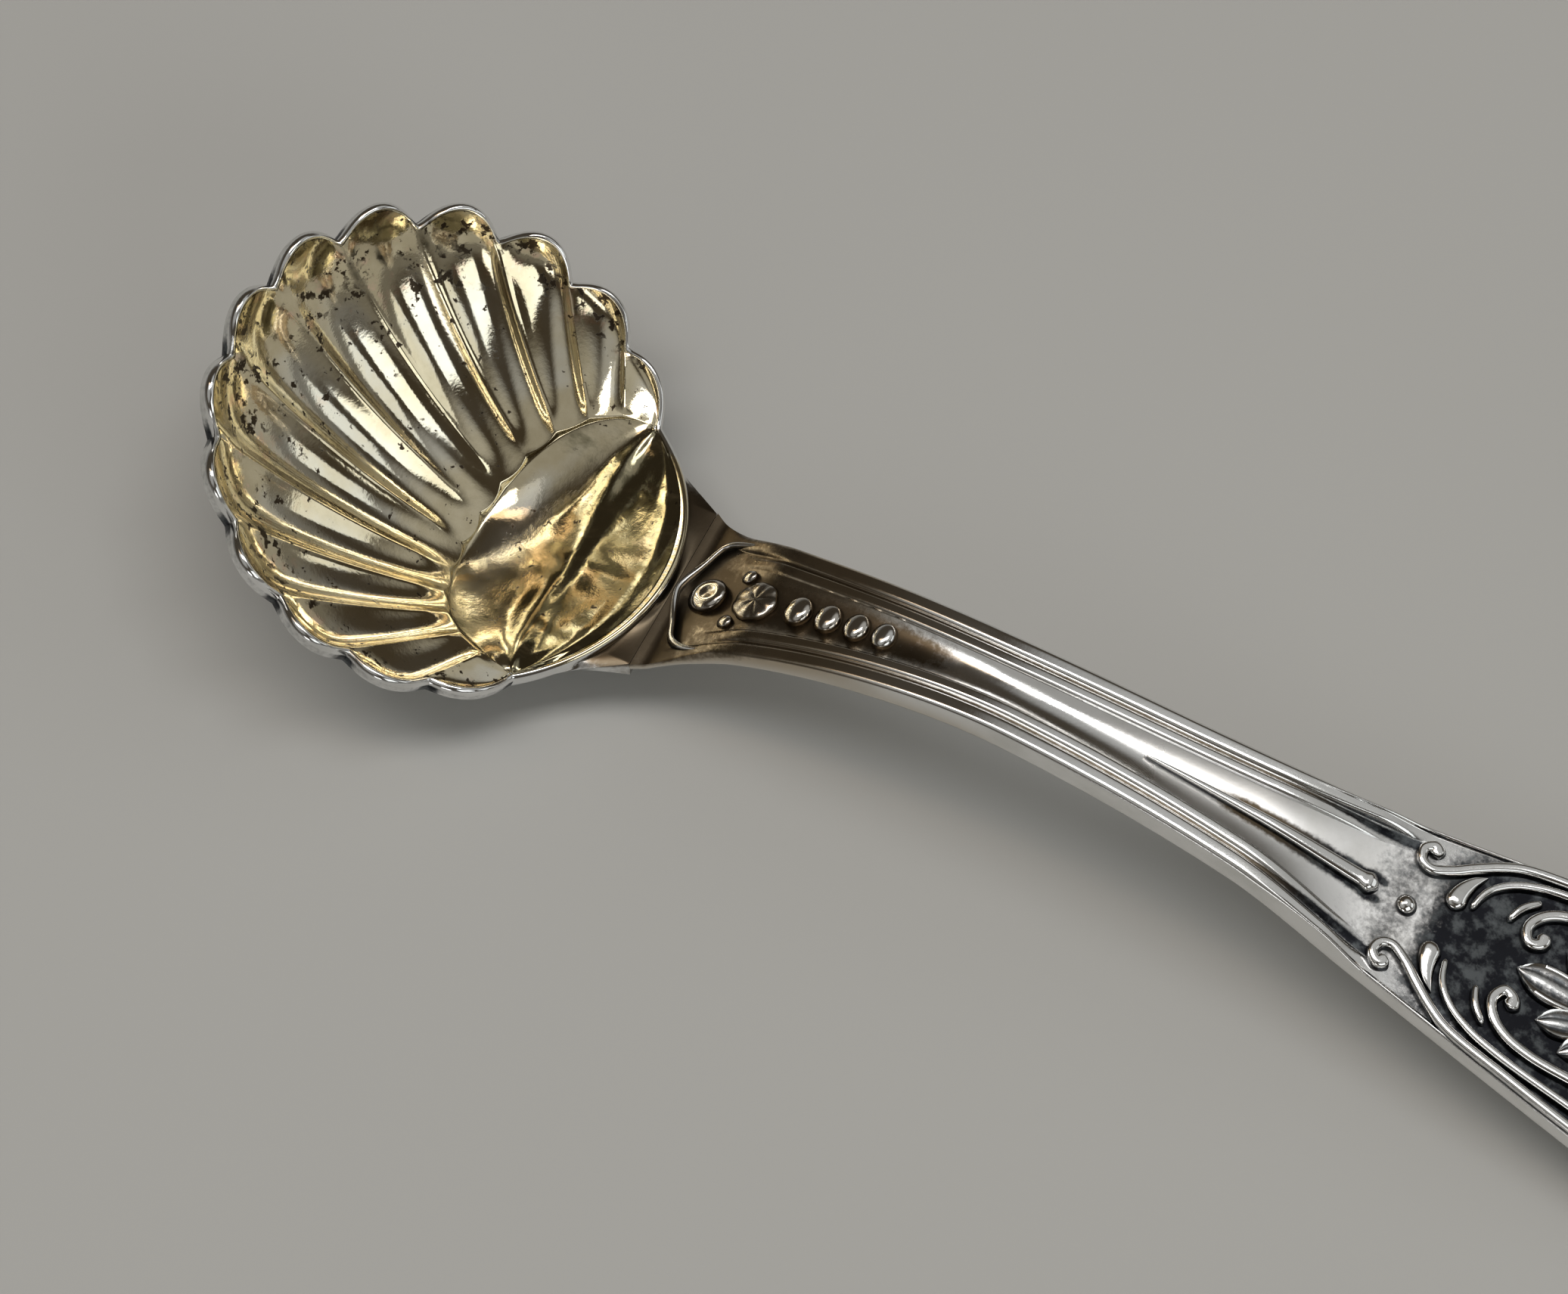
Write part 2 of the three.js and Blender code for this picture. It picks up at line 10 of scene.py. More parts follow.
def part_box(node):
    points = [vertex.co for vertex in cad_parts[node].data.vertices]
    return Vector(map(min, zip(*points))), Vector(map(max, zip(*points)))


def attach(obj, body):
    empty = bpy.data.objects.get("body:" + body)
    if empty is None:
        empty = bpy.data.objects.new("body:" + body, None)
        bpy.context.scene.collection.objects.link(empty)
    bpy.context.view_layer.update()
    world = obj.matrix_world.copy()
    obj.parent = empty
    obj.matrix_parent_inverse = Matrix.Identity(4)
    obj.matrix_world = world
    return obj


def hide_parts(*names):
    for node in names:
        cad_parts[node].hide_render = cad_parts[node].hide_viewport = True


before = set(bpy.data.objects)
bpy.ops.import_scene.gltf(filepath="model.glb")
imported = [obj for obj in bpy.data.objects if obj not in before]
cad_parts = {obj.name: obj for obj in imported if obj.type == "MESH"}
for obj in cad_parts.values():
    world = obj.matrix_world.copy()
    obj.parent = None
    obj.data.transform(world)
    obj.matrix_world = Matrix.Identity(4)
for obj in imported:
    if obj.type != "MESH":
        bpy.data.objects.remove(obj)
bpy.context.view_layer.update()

MM = 0.001
# In metres: corners this close are one, and edges this short are left out
WELD_DISTANCE = 2e-7
LEAST_EDGE = 1e-7

# Bowl
BOWL_RADIUS = 11
FLUTES = 13
FLUTE_STEP = math.radians(21.3)
SCALLOP = 0.85
SCALLOP_MEAN = 0.6
SCALLOP_LEFT = 0.5
SCALLOP_WANE = 4
SCALLOP_RISE = 1.3
SCALLOP_TURN = 14
RIM_WIDTH = 0.45
RIM_CREST = 0.12
RIM_DEPTH = 0.5
# Section of the lip: distance out and height
RIM_PROFILE = (
    (0.03, 0.08), (0.08, 0.125), (0.15, 0.13), (0.23, 0.1),
    (0.31, 0.02), (0.375, -0.1), (0.42, -0.26), (0.435, -0.46),
)
WALL = 0.35
FIT = 0.01
BOWL_TILT = math.radians(24.6)
BOWL_DEPTH = 5.2
FLOOR_CURVE = 1.7
BACK_CURVE = 1.6
HINGE_SETBACK = 3.4
HINGE_STEP = 0.3
HINGE_LOBE = 0.3
HINGE_FALL = 0.07
HINGE_CURVE = 1.6
RIDGE_HEIGHT = 0.35
RIDGE_FOOT = 0.12
RIDGE_ROUNDING = 0.025
NECK_REACH = 10.55
NECK_RISE = 2.5
NECK_CURVE = 1.2
STUB_HALF_WIDTH = 4
STUB_LENGTH = 0.05
STUB_THICKNESS = 1.5
STUB_FILLET = 1.7
STUB_DROP_ROW = 0.05
STUB_FADE_ROW = 0.2
GILT_LIFT = 0.17
GILT_EDGE_LIFT = 0.03
GILT_MARGIN = 0.06
GILT_REACH = 0.985
GILT_END_CURVE = 16
GILT_SIDE_CURVE = 30
# Folds of the back wall: row, width and height
BACK_FOLDS = ((0.55, 0.075, 0.24), (0.9, 0.035, 0.14))
FLUTE_NOSE = 0.13
RIPPLE = 0.025
RIPPLE_WAVES = ((2.9, 13), (1.7, -31))
RIPPLE_SWAY = 2
WALL_START = -0.3
WALL_FULL = -0.5

# Handle
HANDLE_LENGTH = 61.45
RISE_X = HANDLE_LENGTH * 0.0732
BEND_X = HANDLE_LENGTH * 0.171
WAIST_X = HANDLE_LENGTH * 0.2685
FLARE_X = HANDLE_LENGTH * 0.4378
SHOULDER_X = HANDLE_LENGTH * 0.5395
ROSETTE_X = HANDLE_LENGTH * 0.7364
WIDEST_X = HANDLE_LENGTH * 0.8047
TIP_X = HANDLE_LENGTH
TIP_LENGTH = TIP_X - WIDEST_X
NECK_HALF_WIDTH = 3.6
RISE_HALF_WIDTH = 2.83
BEND_HALF_WIDTH = 2.34
WAIST_HALF_WIDTH = 2.17
FLARE_HALF_WIDTH = 2.62
SHOULDER_HALF_WIDTH = 3.55
ROSETTE_HALF_WIDTH = 5.7
WIDEST_HALF_WIDTH = 6.2
TIP_HALF_WIDTH = 0.5
RISE_HEIGHT = 7.13
BEND_HEIGHT = 9.2
ARCH_HEIGHT = 9.78
FLARE_HEIGHT = 8.55
SHOULDER_HEIGHT = 6.83
ROSETTE_HEIGHT = 4.3
TIP_REST = 4
SHANK_THICKNESS = 2.2
TIP_THICKNESS = 1.85
TIP_HEIGHT = 1.5
SINK = 0.42
OUTER_REED = 0.55
INNER_REED = 0.55
REED_GROOVE = 0.3
BORDER = OUTER_REED + REED_GROOVE + INNER_REED
OUTER_REED_START = 0.9
INNER_REED_START = 2.2
REED_FADE = 2.5
REED_END = SHOULDER_X - 0.2
REED_RUNOUT = 5
OUTER_REED_CLOSING = 1.5
OUTER_REED_PAST = 0.8
OUTER_REED_HALF = 0.36
INNER_REED_HALF = 0.29
REED_CURVE = 4
REED_LINE = 0.1
PANEL_LEAST = 0.4
PANEL_HALF_LEAST = 0.3
NECK_FLARE = 0.45
NECK_FLARE_LENGTH = 2.2
NECK_EASE_X = 0.7
NECK_EASE_RISE = 0.05
PANEL_EDGE = 0.62
EDGE_BEAD = 0.16
EDGE_BEAD_WIDTH = 0.26
SIDE_ROUND = 0.35
NECK_END_DROP = 0.8
UNDER_CROWN = 0.25
BAND = BORDER + 0.1

# Ornament
SEAT = 0.02
ROOT = 0.05
MOTIF_GAP = 0.42
PEARL_GAP = 0.16
NECK_BAR_X = 0.2
NECK_BAR_DEPTH = 1.05
NECK_BAR_HALF_SPAN = 2.5
NECK_BAR_HALF_WIDTH = 0.16
NECK_BAR_CURVE = 1.4
NECK_BAR_STATIONS = (0.2, 0.6, 1)
BAR_RUN_IN = 9
BAR_LEAST_WIDTH = 0.05
BAR_JOIN_X = 2.7
NECK_PEARL_RADIUS = 0.85
NECK_PEARL_HEIGHT = 0.7
PALMETTE_RADIUS = 1
PALMETTE_HEIGHT = 0.45
SIDE_PEARL_RADIUS = 0.33
SIDE_PEARL_GAP = 0.12
SIDE_PEARL_ANGLE = math.radians(54)
DROP_RADII = (0.62, 0.6, 0.57, 0.54)
RIB_LENGTH = 10.8
RIB_HALF_WIDTH = 0.52
RIB_HEIGHT = 0.5
RIB_START_WIDTH = 0.1
RIB_GROWTH = 0.68
RIB_GROWTH_CURVE = 0.8
RIB_CLUB = 0.22
RIB_CLUB_PLACE = 0.965
RIB_CLUB_LENGTH = 0.025
RIB_END_X = SHOULDER_X - 0.4
RIB_PEARL_RADIUS = 0.45
RIB_PEARL_X = SHOULDER_X + 0.45 + RIB_PEARL_RADIUS
FIELD = ROSETTE_X - SHOULDER_X - 0.9
OUTER_SCROLL_HALF_WIDTH = 0.26
INNER_SCROLL_HALF_WIDTH = 0.23
CURL_HALF_WIDTH = 0.28
HOOK_HALF_WIDTH = 0.2
SPRAY_HALF_WIDTH = 0.36
SPRAY_FULLNESS = 1.45
SCROLL_HEIGHT = 0.42
SCROLL_KNOB = 0.4
HOOK_END_WIDTH = 0.55
HOOK_SWELL = 0.45
HOOK_SWELL_CURVE = 0.4
TEARDROP_TAPER = 0.85
TEARDROP_CURVE = 1.6
ROSETTE_RADIUS = 0.8
ROSETTE_DOME = 0.6
LEAF_START = ROSETTE_RADIUS + 0.9
LEAF_FULLNESS = 1.5
LEAF_ROOT_WIDTH = 0.08
LEAF_SWELL = 0.92
LEAF_SWELL_SHIFT = 1.4
LEAF_SWELL_CURVE = 0.55
LEAF_HOLLOW = 0.52
LEAF_VEIN = 0.15
LEAF_VEIN_WIDTH = 0.14
LEAF_EDGE = 0.35
LEAF_EDGE_PLACE = 0.78
LEAF_EDGE_WIDTH = 0.16
LEAF_SIDE_CURVE = 12
# Leaves and lobes: angle in degrees, reach and half width
ROSETTE_LEAVES = ((0, 6.1, 0.6), (20, 4.8, 0.48), (38, 4, 0.4))
TIP_PEARL_RADIUS = 0.6
TIP_PEARL_X = ROSETTE_X + FIELD
LOBE_START = TIP_PEARL_RADIUS + 0.35
TIP_LOBES = ((0, 3.9, 0.45), (27, 3.6, 0.42), (54, 3, 0.38))
PEARL_DIMPLE = 0.2
PEARL_DULL = 0.2
PALMETTE_DIMPLE = 0.08
PALMETTE_DULL = 0.45
DROP_OVAL = 1.15
DROP_RISE = 0.95
DROP_DULL = 0.25
PETALS = 7
PETAL_NOTCH_WIDTH = 0.06
PETAL_NOTCH_DEPTH = 0.18
BOSS_EDGE = 0.1
BOSS_SKIRT = 0.12
BOSS_HOLLOW = 0.3
BOSS_SINK = 0.5
WIRE_LEAST_WIDTH = 0.02
WIRE_LEAST_HEIGHT = 0.4
WIRE_TOP_CURVE = 4
WIRE_SIDE_CURVE = 0.6

# Tarnish, wear and film as shares. The lip, crease, neck, panel and web amounts are painted shade mixed
# with tarnish, and the rib-side amount is painted shade.
STUB_SIDE_TARNISH = 0.45
LIP_SHADE_AND_TARNISH = 0.35
CREASE_SHADE_AND_TARNISH = 0.55
CHANNEL_WEAR = 0.45
TROUGH_WEAR = 0.7
CREST_FILM = 0.6
TROUGH_FILM = 0.6
WALL_FILM = 0.75
DUSK_TARNISH = 0.55
SCROLL_POLISH = 0.3
GROOVE_TARNISH = 1.1
PANEL_SHADE_AND_TARNISH = 0.8
NECK_SHADE_AND_TARNISH = 0.6
WEB_SHADE_AND_TARNISH = 0.85
RIB_SIDE_SHADE = 0.95
RIB_SIDE_WIDTH = 0.28
NOTCH_TARNISH = 0.6
DIMPLE_TARNISH = 0.5
NECK_WARMTH = 0.5
SHANK_WARMTH = 0.5
SIDE_WARMTH = 0.8
BOSS_WARMTH = 0.75

# Where a mark begins and where it is full, on the bowl: in rows, shares and flutes
WEB_DARK = (0.4, 0.75)
RIM_GILT = (0.55, 0.35)
RIM_GILT_SPAN = (6, 4.5)
CREASE_DARK = (0.4, 0.85)
BELOW_LIP_DARK = (0.88, 0.97)
CHANNEL_BEGIN = (0.05, 0.3)
CHANNEL_END = (1, 0.7)
PITTED_EDGE = (0.5, 0.85)
CREST_BEGIN = (0.1, 0.3)
TROUGH_BEGIN = (0.06, -0.02)
TROUGH_ROW = -0.22
TROUGH_ROW_WIDTH = 0.12
TROUGH_MIDDLE = 0.5
TROUGH_WORN_SPAN = 3.5
TROUGH_CLEAR_SPAN = 2.4

# The same on the handle: in millimetres from the neck, the shoulder or the edge, and as shares
FIELD_DARK = (0, 3.2)
TIP_DARK = (TIP_X - 0.15, TIP_X - 0.5)
BEAD_DARK = (EDGE_BEAD_WIDTH * 0.8, EDGE_BEAD_WIDTH * 1.2)
SCROLL_SHINE = (8, 4)
SCROLL_SHINE_SIDE = (0.72, 0.85)
DUSK_PLACE = 0.6
DUSK_LENGTH = 1.9
DUSK_SIDE = (0.95, 0.75)
REEDS_CEASE = (1.5, 0.3)
GROOVE_SHIFT = 0.25
GROOVE_THIN = 0.045
GROOVE_BROAD = 0.28
PANEL_DARK = (14.5, 12)
PANEL_DARK_SIDE = (BORDER * 0.7, BORDER * 1.4)
NECK_DARK = (8, 3.5)
JOINT_DARK = (2.4, 1.4)
RIB_DARK = (0.1, 0.5)
RIB_DARK_PAST = 0.7
NECK_WARM = (14, 6)
SHANK_WARM = (32, 26)
SIDE_WARM = (22, 14)
BOSS_WARM = (14, 8)
BOSS_SHINE = (0.1, 0.5)
NOTCH_DARK = (0.3, 0.8)
WIRE_SHINE = (0.3, 0.9)
SATIN = (18, 25)
SATIN_SIDE = (BORDER * 0.9, BORDER)

# Fineness of the meshes
SHARP_ANGLE = 40
HANDLE_SHARP_ANGLE = 75
WIRE_SHARP_ANGLE = 80
FLUTE_COLUMNS = 20
SHELL_ROWS = (45, 64)
GILT_ROWS = (60, 66)
BACK_CROWDING = 1.3
FRONT_CROWDING = 1.4
WEB_STEPS = 7
STUB_ROWS = (-0.985, -0.97, -0.95)
STUB_ROWS_END = -0.94
STUB_SIDE_ROWS = 4
LIP_FACE_ROWS = 3
SHANK_STEPS = 320
TIP_STEPS = 60
BAND_STEPS = 61
PANEL_STEPS = 30
SIDE_STEPS = 6
UNDER_STEPS = 21
BOSS_TURNS = 49
BOSS_RINGS = 19
WIRE_COLUMNS = 15
BAR_STEPS = 8
RIB_STEPS = 60
SCROLL_STEPS = 22
LEAF_STEPS = 30

HALF_FLUTES = FLUTES / 2
INNER_RADIUS = BOWL_RADIUS - RIM_WIDTH
RIDGE_FULLNESS = 4 / (1 + RIDGE_FOOT) ** 2


def lerp(a, b, t):
    return a + (b - a) * t


def smooth(low, high, x):
    """0 at low and beyond it, 1 at high and beyond it, a soft step between."""
    t = np.clip((x - low) / (high - low), 0, 1)
    return t * t * (3 - 2 * t)


def bell(x, middle, width):
    """1 at the middle, falling off on both sides over about the width."""
    return np.exp(-(((x - middle) / width) ** 2))


def curve_through(pairs):
    """Smooth curve through (x, value) pairs."""
    xs, ys = np.array(pairs, float).T
    before = np.maximum(np.arange(len(xs)) - 1, 0)
    after = np.minimum(np.arange(len(xs)) + 1, len(xs) - 1)
    slope = (ys[after] - ys[before]) / (xs[after] - xs[before])

    def value(x):
        x = np.asarray(x, float)
        i = np.clip(np.searchsorted(xs, x) - 1, 0, len(xs) - 2)
        span = xs[i + 1] - xs[i]
        t = np.clip((x - xs[i]) / span, 0, 1)
        bend = t * (1 - t) * span * (slope[i] * (1 - t) - slope[i + 1] * t)
        return lerp(ys[i], ys[i + 1], t * t * (3 - 2 * t)) + bend

    return value


# Bowl surface: u counts flutes from the axis, row is -1 at the back rim, 0 at the hinge and 1 at the front
def ridge(u):
    from_ridge = 0.5 - np.abs(u - np.round(u))
    return 4 * (0.5 - np.sqrt(from_ridge**2 + RIDGE_ROUNDING**2)) ** 2


def rim_radius(u):
    """Radius of the scalloped edge. The scallops grow shallow where the edge meets the hinge."""
    wane = smooth(SCALLOP_WANE, HALF_FLUTES, np.abs(u))
    return INNER_RADIUS - SCALLOP * lerp(SCALLOP_MEAN, ridge(u), lerp(1, SCALLOP_LEFT, wane))


def rim_plan(u, out):
    r = rim_radius(u) + out
    return r * np.cos(u * FLUTE_STEP), r * np.sin(u * FLUTE_STEP)


def hinge_plan(u, out, lobe):
    end_p, end_q = rim_plan(HALF_FLUTES, out)
    s = u / HALF_FLUTES * math.pi / 2
    p = -HINGE_SETBACK + (end_p + HINGE_SETBACK) * (1 - np.cos(s)) ** HINGE_CURVE
    return p - lobe * (1 - ridge(u)) * np.cos(s), end_q * np.sin(s)


def back_plan(u, out):
    w = u / HALF_FLUTES
    turn = (math.pi - HALF_FLUTES * FLUTE_STEP) * w
    r = lerp(NECK_REACH, rim_radius(HALF_FLUTES), w * w) + out
    return -r * np.cos(turn), r * np.sin(turn)


def bowl_point(u, row, out=0.0, lobe=HINGE_LOBE, drop=0.0, lift=0.0):
    u, row, out, lift = np.broadcast_arrays(u, row, out, lift)
    w = u / HALF_FLUTES
    c = np.maximum(np.cos(w * math.pi / 2), 0)
    t = np.abs(row)
    behind = row < 0
    fall = np.where(behind, smooth(0, HINGE_FALL, t), 0)
    hinge = hinge_plan(u, out, lobe * (1 - fall))
    back, rim = back_plan(u, out), rim_plan(u, out)
    edge = [np.where(behind, b, f) for b, f in zip(back, rim)]
    floor = -BOWL_DEPTH * c**FLOOR_CURVE
    ribs = RIDGE_FULLNESS * RIDGE_HEIGHT * ridge(u) * np.sqrt(c)
    turned_up = SCALLOP_RISE * (1 - ridge(u)) * np.sqrt(c) * t**SCALLOP_TURN
    nose = smooth(0, FLUTE_NOSE, t)
    front_h = floor * (1 - t * t) + ribs * nose * (t + RIDGE_FOOT) * (1 - t) + turned_up
    neck = NECK_RISE * np.maximum(1 - w * w, 0) ** NECK_CURVE
    back_h = lerp(floor, neck, t**BACK_CURVE) - HINGE_STEP * c * (1 - t) * fall
    folds = sum(height * bell(t, place, wide) for place, wide, height in BACK_FOLDS)
    back_h = back_h + np.where(drop > 0, 0, folds * np.sqrt(c))
    h = np.where(behind, back_h, front_h) + lift - drop * (1 - t) * c
    p = lerp(hinge[0], edge[0], t)
    q = lerp(hinge[1], edge[1], t)
    x = -p * math.cos(BOWL_TILT) + h * math.sin(BOWL_TILT)
    z = p * math.sin(BOWL_TILT) + h * math.cos(BOWL_TILT)
    return np.stack([x, q, z], axis=-1)


# Place of the bowl and of the handle in the frame
NECK_TOP = bowl_point(0.0, -1.0, out=RIM_WIDTH, lobe=0.0, drop=WALL)
JOINT_X = NECK_TOP[0] + STUB_LENGTH
shell_high = np.array(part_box("bowl_shell")[1]) / MM
crest_reach = INNER_RADIUS + RIM_WIDTH / 2
crest_rise = RIM_CREST + SCALLOP_RISE
crest = crest_reach * math.sin(BOWL_TILT) + crest_rise * math.cos(BOWL_TILT)
BOWL_PLACE = np.array([shell_high[0] - JOINT_X, 0, shell_high[2] - crest])
HANDLE_START = np.array(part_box("handle_shank")[0])[0] / MM

NECK_HEIGHT = NECK_TOP[2] + BOWL_PLACE[2]
side_line = curve_through([
    (0, NECK_HEIGHT),
    (NECK_EASE_X, NECK_HEIGHT + NECK_EASE_RISE),
    (RISE_X, RISE_HEIGHT),
    (BEND_X, BEND_HEIGHT),
    (WAIST_X, ARCH_HEIGHT),
    (FLARE_X, FLARE_HEIGHT),
    (SHOULDER_X, SHOULDER_HEIGHT),
    (ROSETTE_X, ROSETTE_HEIGHT),
    (TIP_X - TIP_REST, TIP_HEIGHT),
    (TIP_X, TIP_HEIGHT),
])
side_of_reeds = curve_through([
    (0, NECK_HALF_WIDTH),
    (RISE_X, RISE_HALF_WIDTH),
    (BEND_X, BEND_HALF_WIDTH),
    (WAIST_X, WAIST_HALF_WIDTH),
    (FLARE_X, FLARE_HALF_WIDTH),
    (SHOULDER_X, SHOULDER_HALF_WIDTH),
    (ROSETTE_X, ROSETTE_HALF_WIDTH),
    (WIDEST_X, WIDEST_HALF_WIDTH),
])
thickness = curve_through([
    (0, STUB_THICKNESS),
    (WAIST_X, SHANK_THICKNESS),
    (TIP_X - TIP_REST, TIP_THICKNESS),
    (TIP_X, TIP_THICKNESS),
])


def half_width(x):
    k = (np.asarray(x, float) - WIDEST_X) / TIP_LENGTH
    oval = np.sqrt(lerp(TIP_HALF_WIDTH**2, WIDEST_HALF_WIDTH**2, np.clip(1 - k * k, 0, 1)))
    flare = NECK_FLARE * np.clip(1 - np.asarray(x, float) / NECK_FLARE_LENGTH, 0, 1) ** 2
    return np.where(k <= 0, side_of_reeds(x) + flare, oval)


def border_scale(x):
    return np.minimum(1, half_width(x) / (BORDER + PANEL_LEAST))


def ground(x):
    return side_line(x) - SINK


def panel(x, y):
    """Height of the ground, dished between the reeds and flat in the field of scrolls."""
    inner = np.maximum(half_width(x) - BORDER * border_scale(x), PANEL_HALF_LEAST)
    share = np.clip(np.abs(y) / inner, 0, 1)
    return ground(x) + PANEL_EDGE * SINK * reeded(x) * share**2


def reeded(x):
    """1 where the reeds have their full height, 0 at the neck and in the field of scrolls."""
    return smooth(INNER_REED_START, RISE_X, x) * (1 - run_out(x))


def run_out(x):
    """0 where the reeds stand, 1 where they have sunk into the shoulder."""
    return smooth(REED_END - REED_RUNOUT, REED_END, x)


def outer_begun(x):
    return smooth(OUTER_REED_START, OUTER_REED_START + REED_FADE, x)


def crowned(k):
    """Section of a reed, broad on top."""
    return np.clip(1 - np.abs(k) ** REED_CURVE, 0, 1)


def reed_rise(x, d):
    """Height of the reeds over the panel at the distance d from the edge."""
    d = d / border_scale(x)
    ended = run_out(x)
    outer_full = outer_begun(x) * (1 - smooth(REED_END - OUTER_REED_CLOSING, REED_END + OUTER_REED_PAST, x))
    outer = crowned((d - OUTER_REED_HALF) / OUTER_REED_HALF)
    inner_at = 2 * OUTER_REED_HALF + REED_LINE + INNER_REED_HALF
    inner = crowned((d - inner_at) / INNER_REED_HALF)
    inner_full = smooth(INNER_REED_START, INNER_REED_START + REED_FADE, x) * (1 - ended)
    crest = SINK * (1 - PANEL_EDGE * reeded(x))
    bead = np.clip(1 - ((d - EDGE_BEAD_WIDTH / 2) / (EDGE_BEAD_WIDTH / 2)) ** 2, 0, 1)
    return crest * np.maximum(outer_full * outer, inner_full * inner) + EDGE_BEAD * ended * bead


# Meshes
def quads(rows, columns, start=0, turned=False):
    i, j = np.meshgrid(np.arange(rows - 1), np.arange(columns - 1), indexing="ij")
    a = (start + i * columns + j).ravel()
    corners = [a, a + columns, a + columns + 1, a + 1]
    return np.stack(corners[::-1] if turned else corners, axis=1)


def slab(upper, lower):
    """Corners and faces of a closed solid between two grids of points."""
    rows, columns = upper.shape[:2]
    count = rows * columns
    index = np.arange(count).reshape(rows, columns)
    rim = np.concatenate([index[0, :-1], index[:-1, -1], index[-1, :0:-1], index[:0:-1, 0]])
    after = np.roll(rim, -1)
    wall = np.stack([rim, after, after + count, rim + count], axis=1)
    faces = np.concatenate([quads(rows, columns), quads(rows, columns, count, True), wall])
    return np.concatenate([upper.reshape(-1, 3), lower.reshape(-1, 3)]), faces


def make_piece(node, corners, faces, material, marks, sharp=SHARP_ANGLE):
    """A mesh piece that stands for one node of the frame, with marks that its material reads."""
    mesh = bpy.data.meshes.new(node + "_surface")
    mesh.from_pydata((corners * MM).tolist(), [], faces)
    for name, values in marks.items():
        attribute = mesh.attributes.new(name, "FLOAT", "POINT")
        attribute.data.foreach_set("value", np.ravel(values).astype(np.float32))
    weld(mesh)
    mesh.shade_smooth()
    mesh.set_sharp_from_angle(angle=math.radians(sharp))
    mesh.materials.append(material)
    piece = bpy.data.objects.new(node + "_surface", mesh)
    bpy.context.scene.collection.objects.link(piece)
    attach(piece, "root")
    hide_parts(node)


def weld(mesh):
    """Joins corners that coincide and turns all faces outwards."""
    work = bmesh.new()
    work.from_mesh(mesh)
    bmesh.ops.remove_doubles(work, verts=work.verts, dist=WELD_DISTANCE)
    bmesh.ops.dissolve_degenerate(work, edges=work.edges, dist=LEAST_EDGE)
    bmesh.ops.recalc_face_normals(work, faces=work.faces)
    work.to_mesh(mesh)
    work.free()


# Materials
def nodes_of(name, metallic):
    """A new material, its node tree and its shader."""
    material = bpy.data.materials.new(name)
    material.use_nodes = True
    tree = material.node_tree
    shader = tree.nodes["Principled BSDF"]
    shader.inputs["Metallic"].default_value = metallic
    return material, tree, shader


class Net:
    """Short way to write node trees."""

    def __init__(self, tree, space="Object"):
        self.tree = tree
        self.place = tree.nodes.new("ShaderNodeTexCoord").outputs[space]

    def link(self, value, socket):
        if isinstance(value, bpy.types.NodeSocket):
            self.tree.links.new(value, socket)
        else:
            socket.default_value = value

    def math(self, kind, a, b):
        node = self.tree.nodes.new("ShaderNodeMath")
        node.operation = kind
        self.link(a, node.inputs[0])
        self.link(b, node.inputs[1])
        return node.outputs[0]

    def noise(self, size, detail, rough, stretch=(1, 1, 1)):
        """Noise with features of about size millimetres."""
        mapping = self.tree.nodes.new("ShaderNodeMapping")
        mapping.inputs["Scale"].default_value = stretch
        self.link(self.place, mapping.inputs["Vector"])
        node = self.tree.nodes.new("ShaderNodeTexNoise")
        node.inputs["Scale"].default_value = 1 / (size * MM)
        node.inputs["Detail"].default_value = detail
        node.inputs["Roughness"].default_value = rough
        self.link(mapping.outputs[0], node.inputs["Vector"])
        return node.outputs["Fac"]

    def step(self, value, low, high, to_low=0.0, to_high=1.0):
        node = self.tree.nodes.new("ShaderNodeMapRange")
        node.interpolation_type = "SMOOTHSTEP"
        self.link(value, node.inputs["Value"])
        node.inputs["From Min"].default_value = low
        node.inputs["From Max"].default_value = high
        node.inputs["To Min"].default_value = to_low
        node.inputs["To Max"].default_value = to_high
        return node.outputs[0]

    def mix(self, share, a, b):
        node = self.tree.nodes.new("ShaderNodeMix")
        node.data_type = "RGBA"
        self.link(share, node.inputs["Factor"])
        self.link(a, node.inputs["A"])
        self.link(b, node.inputs["B"])
        return node.outputs["Result"]

    def attribute(self, name):
        node = self.tree.nodes.new("ShaderNodeAttribute")
        node.attribute_name = name
        return node.outputs["Fac"]

    def bump(self, height, strength, distance):
        node = self.tree.nodes.new("ShaderNodeBump")
        node.inputs["Strength"].default_value = strength
        node.inputs["Distance"].default_value = distance * MM
        self.link(height, node.inputs["Height"])
        return node.outputs[0]


SILVER = (0.86, 0.855, 0.84, 1)
DULL_SILVER = (0.72, 0.715, 0.69, 1)
BROWN_SILVER = (0.5, 0.43, 0.33, 1)
OXIDE = (0.018, 0.019, 0.023, 1)
SLATE = (0.11, 0.12, 0.125, 1)
BROWN_OXIDE = (0.14, 0.11, 0.074, 1)
PIT = (0.06, 0.045, 0.03, 1)
GOLD = (0.8, 0.71, 0.5, 1)
DEEP_GOLD = (0.7, 0.61, 0.41, 1)
PALE_GOLD = (0.84, 0.8, 0.67, 1)
WORN_GOLD = (0.86, 0.85, 0.8, 1)
PAINTED_GLINT_GOLD = (0.88, 0.68, 0.5, 1)
OLIVE_GOLD = (0.34, 0.305, 0.195, 1)
# Noise: size in millimetres, detail and roughness
SILVER_CLOUD = (2.4, 5, 0.6)
SILVER_PATCH = (0.8, 4, 0.65)
SILVER_FINE = (0.2, 3, 0.6)
GOLD_CLOUD = (3, 5, 0.6)
GOLD_PATCH = (1.2, 4, 0.6)
GOLD_FINE = (0.3, 4, 0.65)
GOLD_SPOTS = (0.55, 3, 0.7)
GOLD_STREAK = (1.1, 4, 0.65)
STREAK_STRETCH = (0.6, 1.2, 1)
FINE_SHARE = 0.6
CLOUD_SHARE = 0.9
EDGE_PITS = 0.09
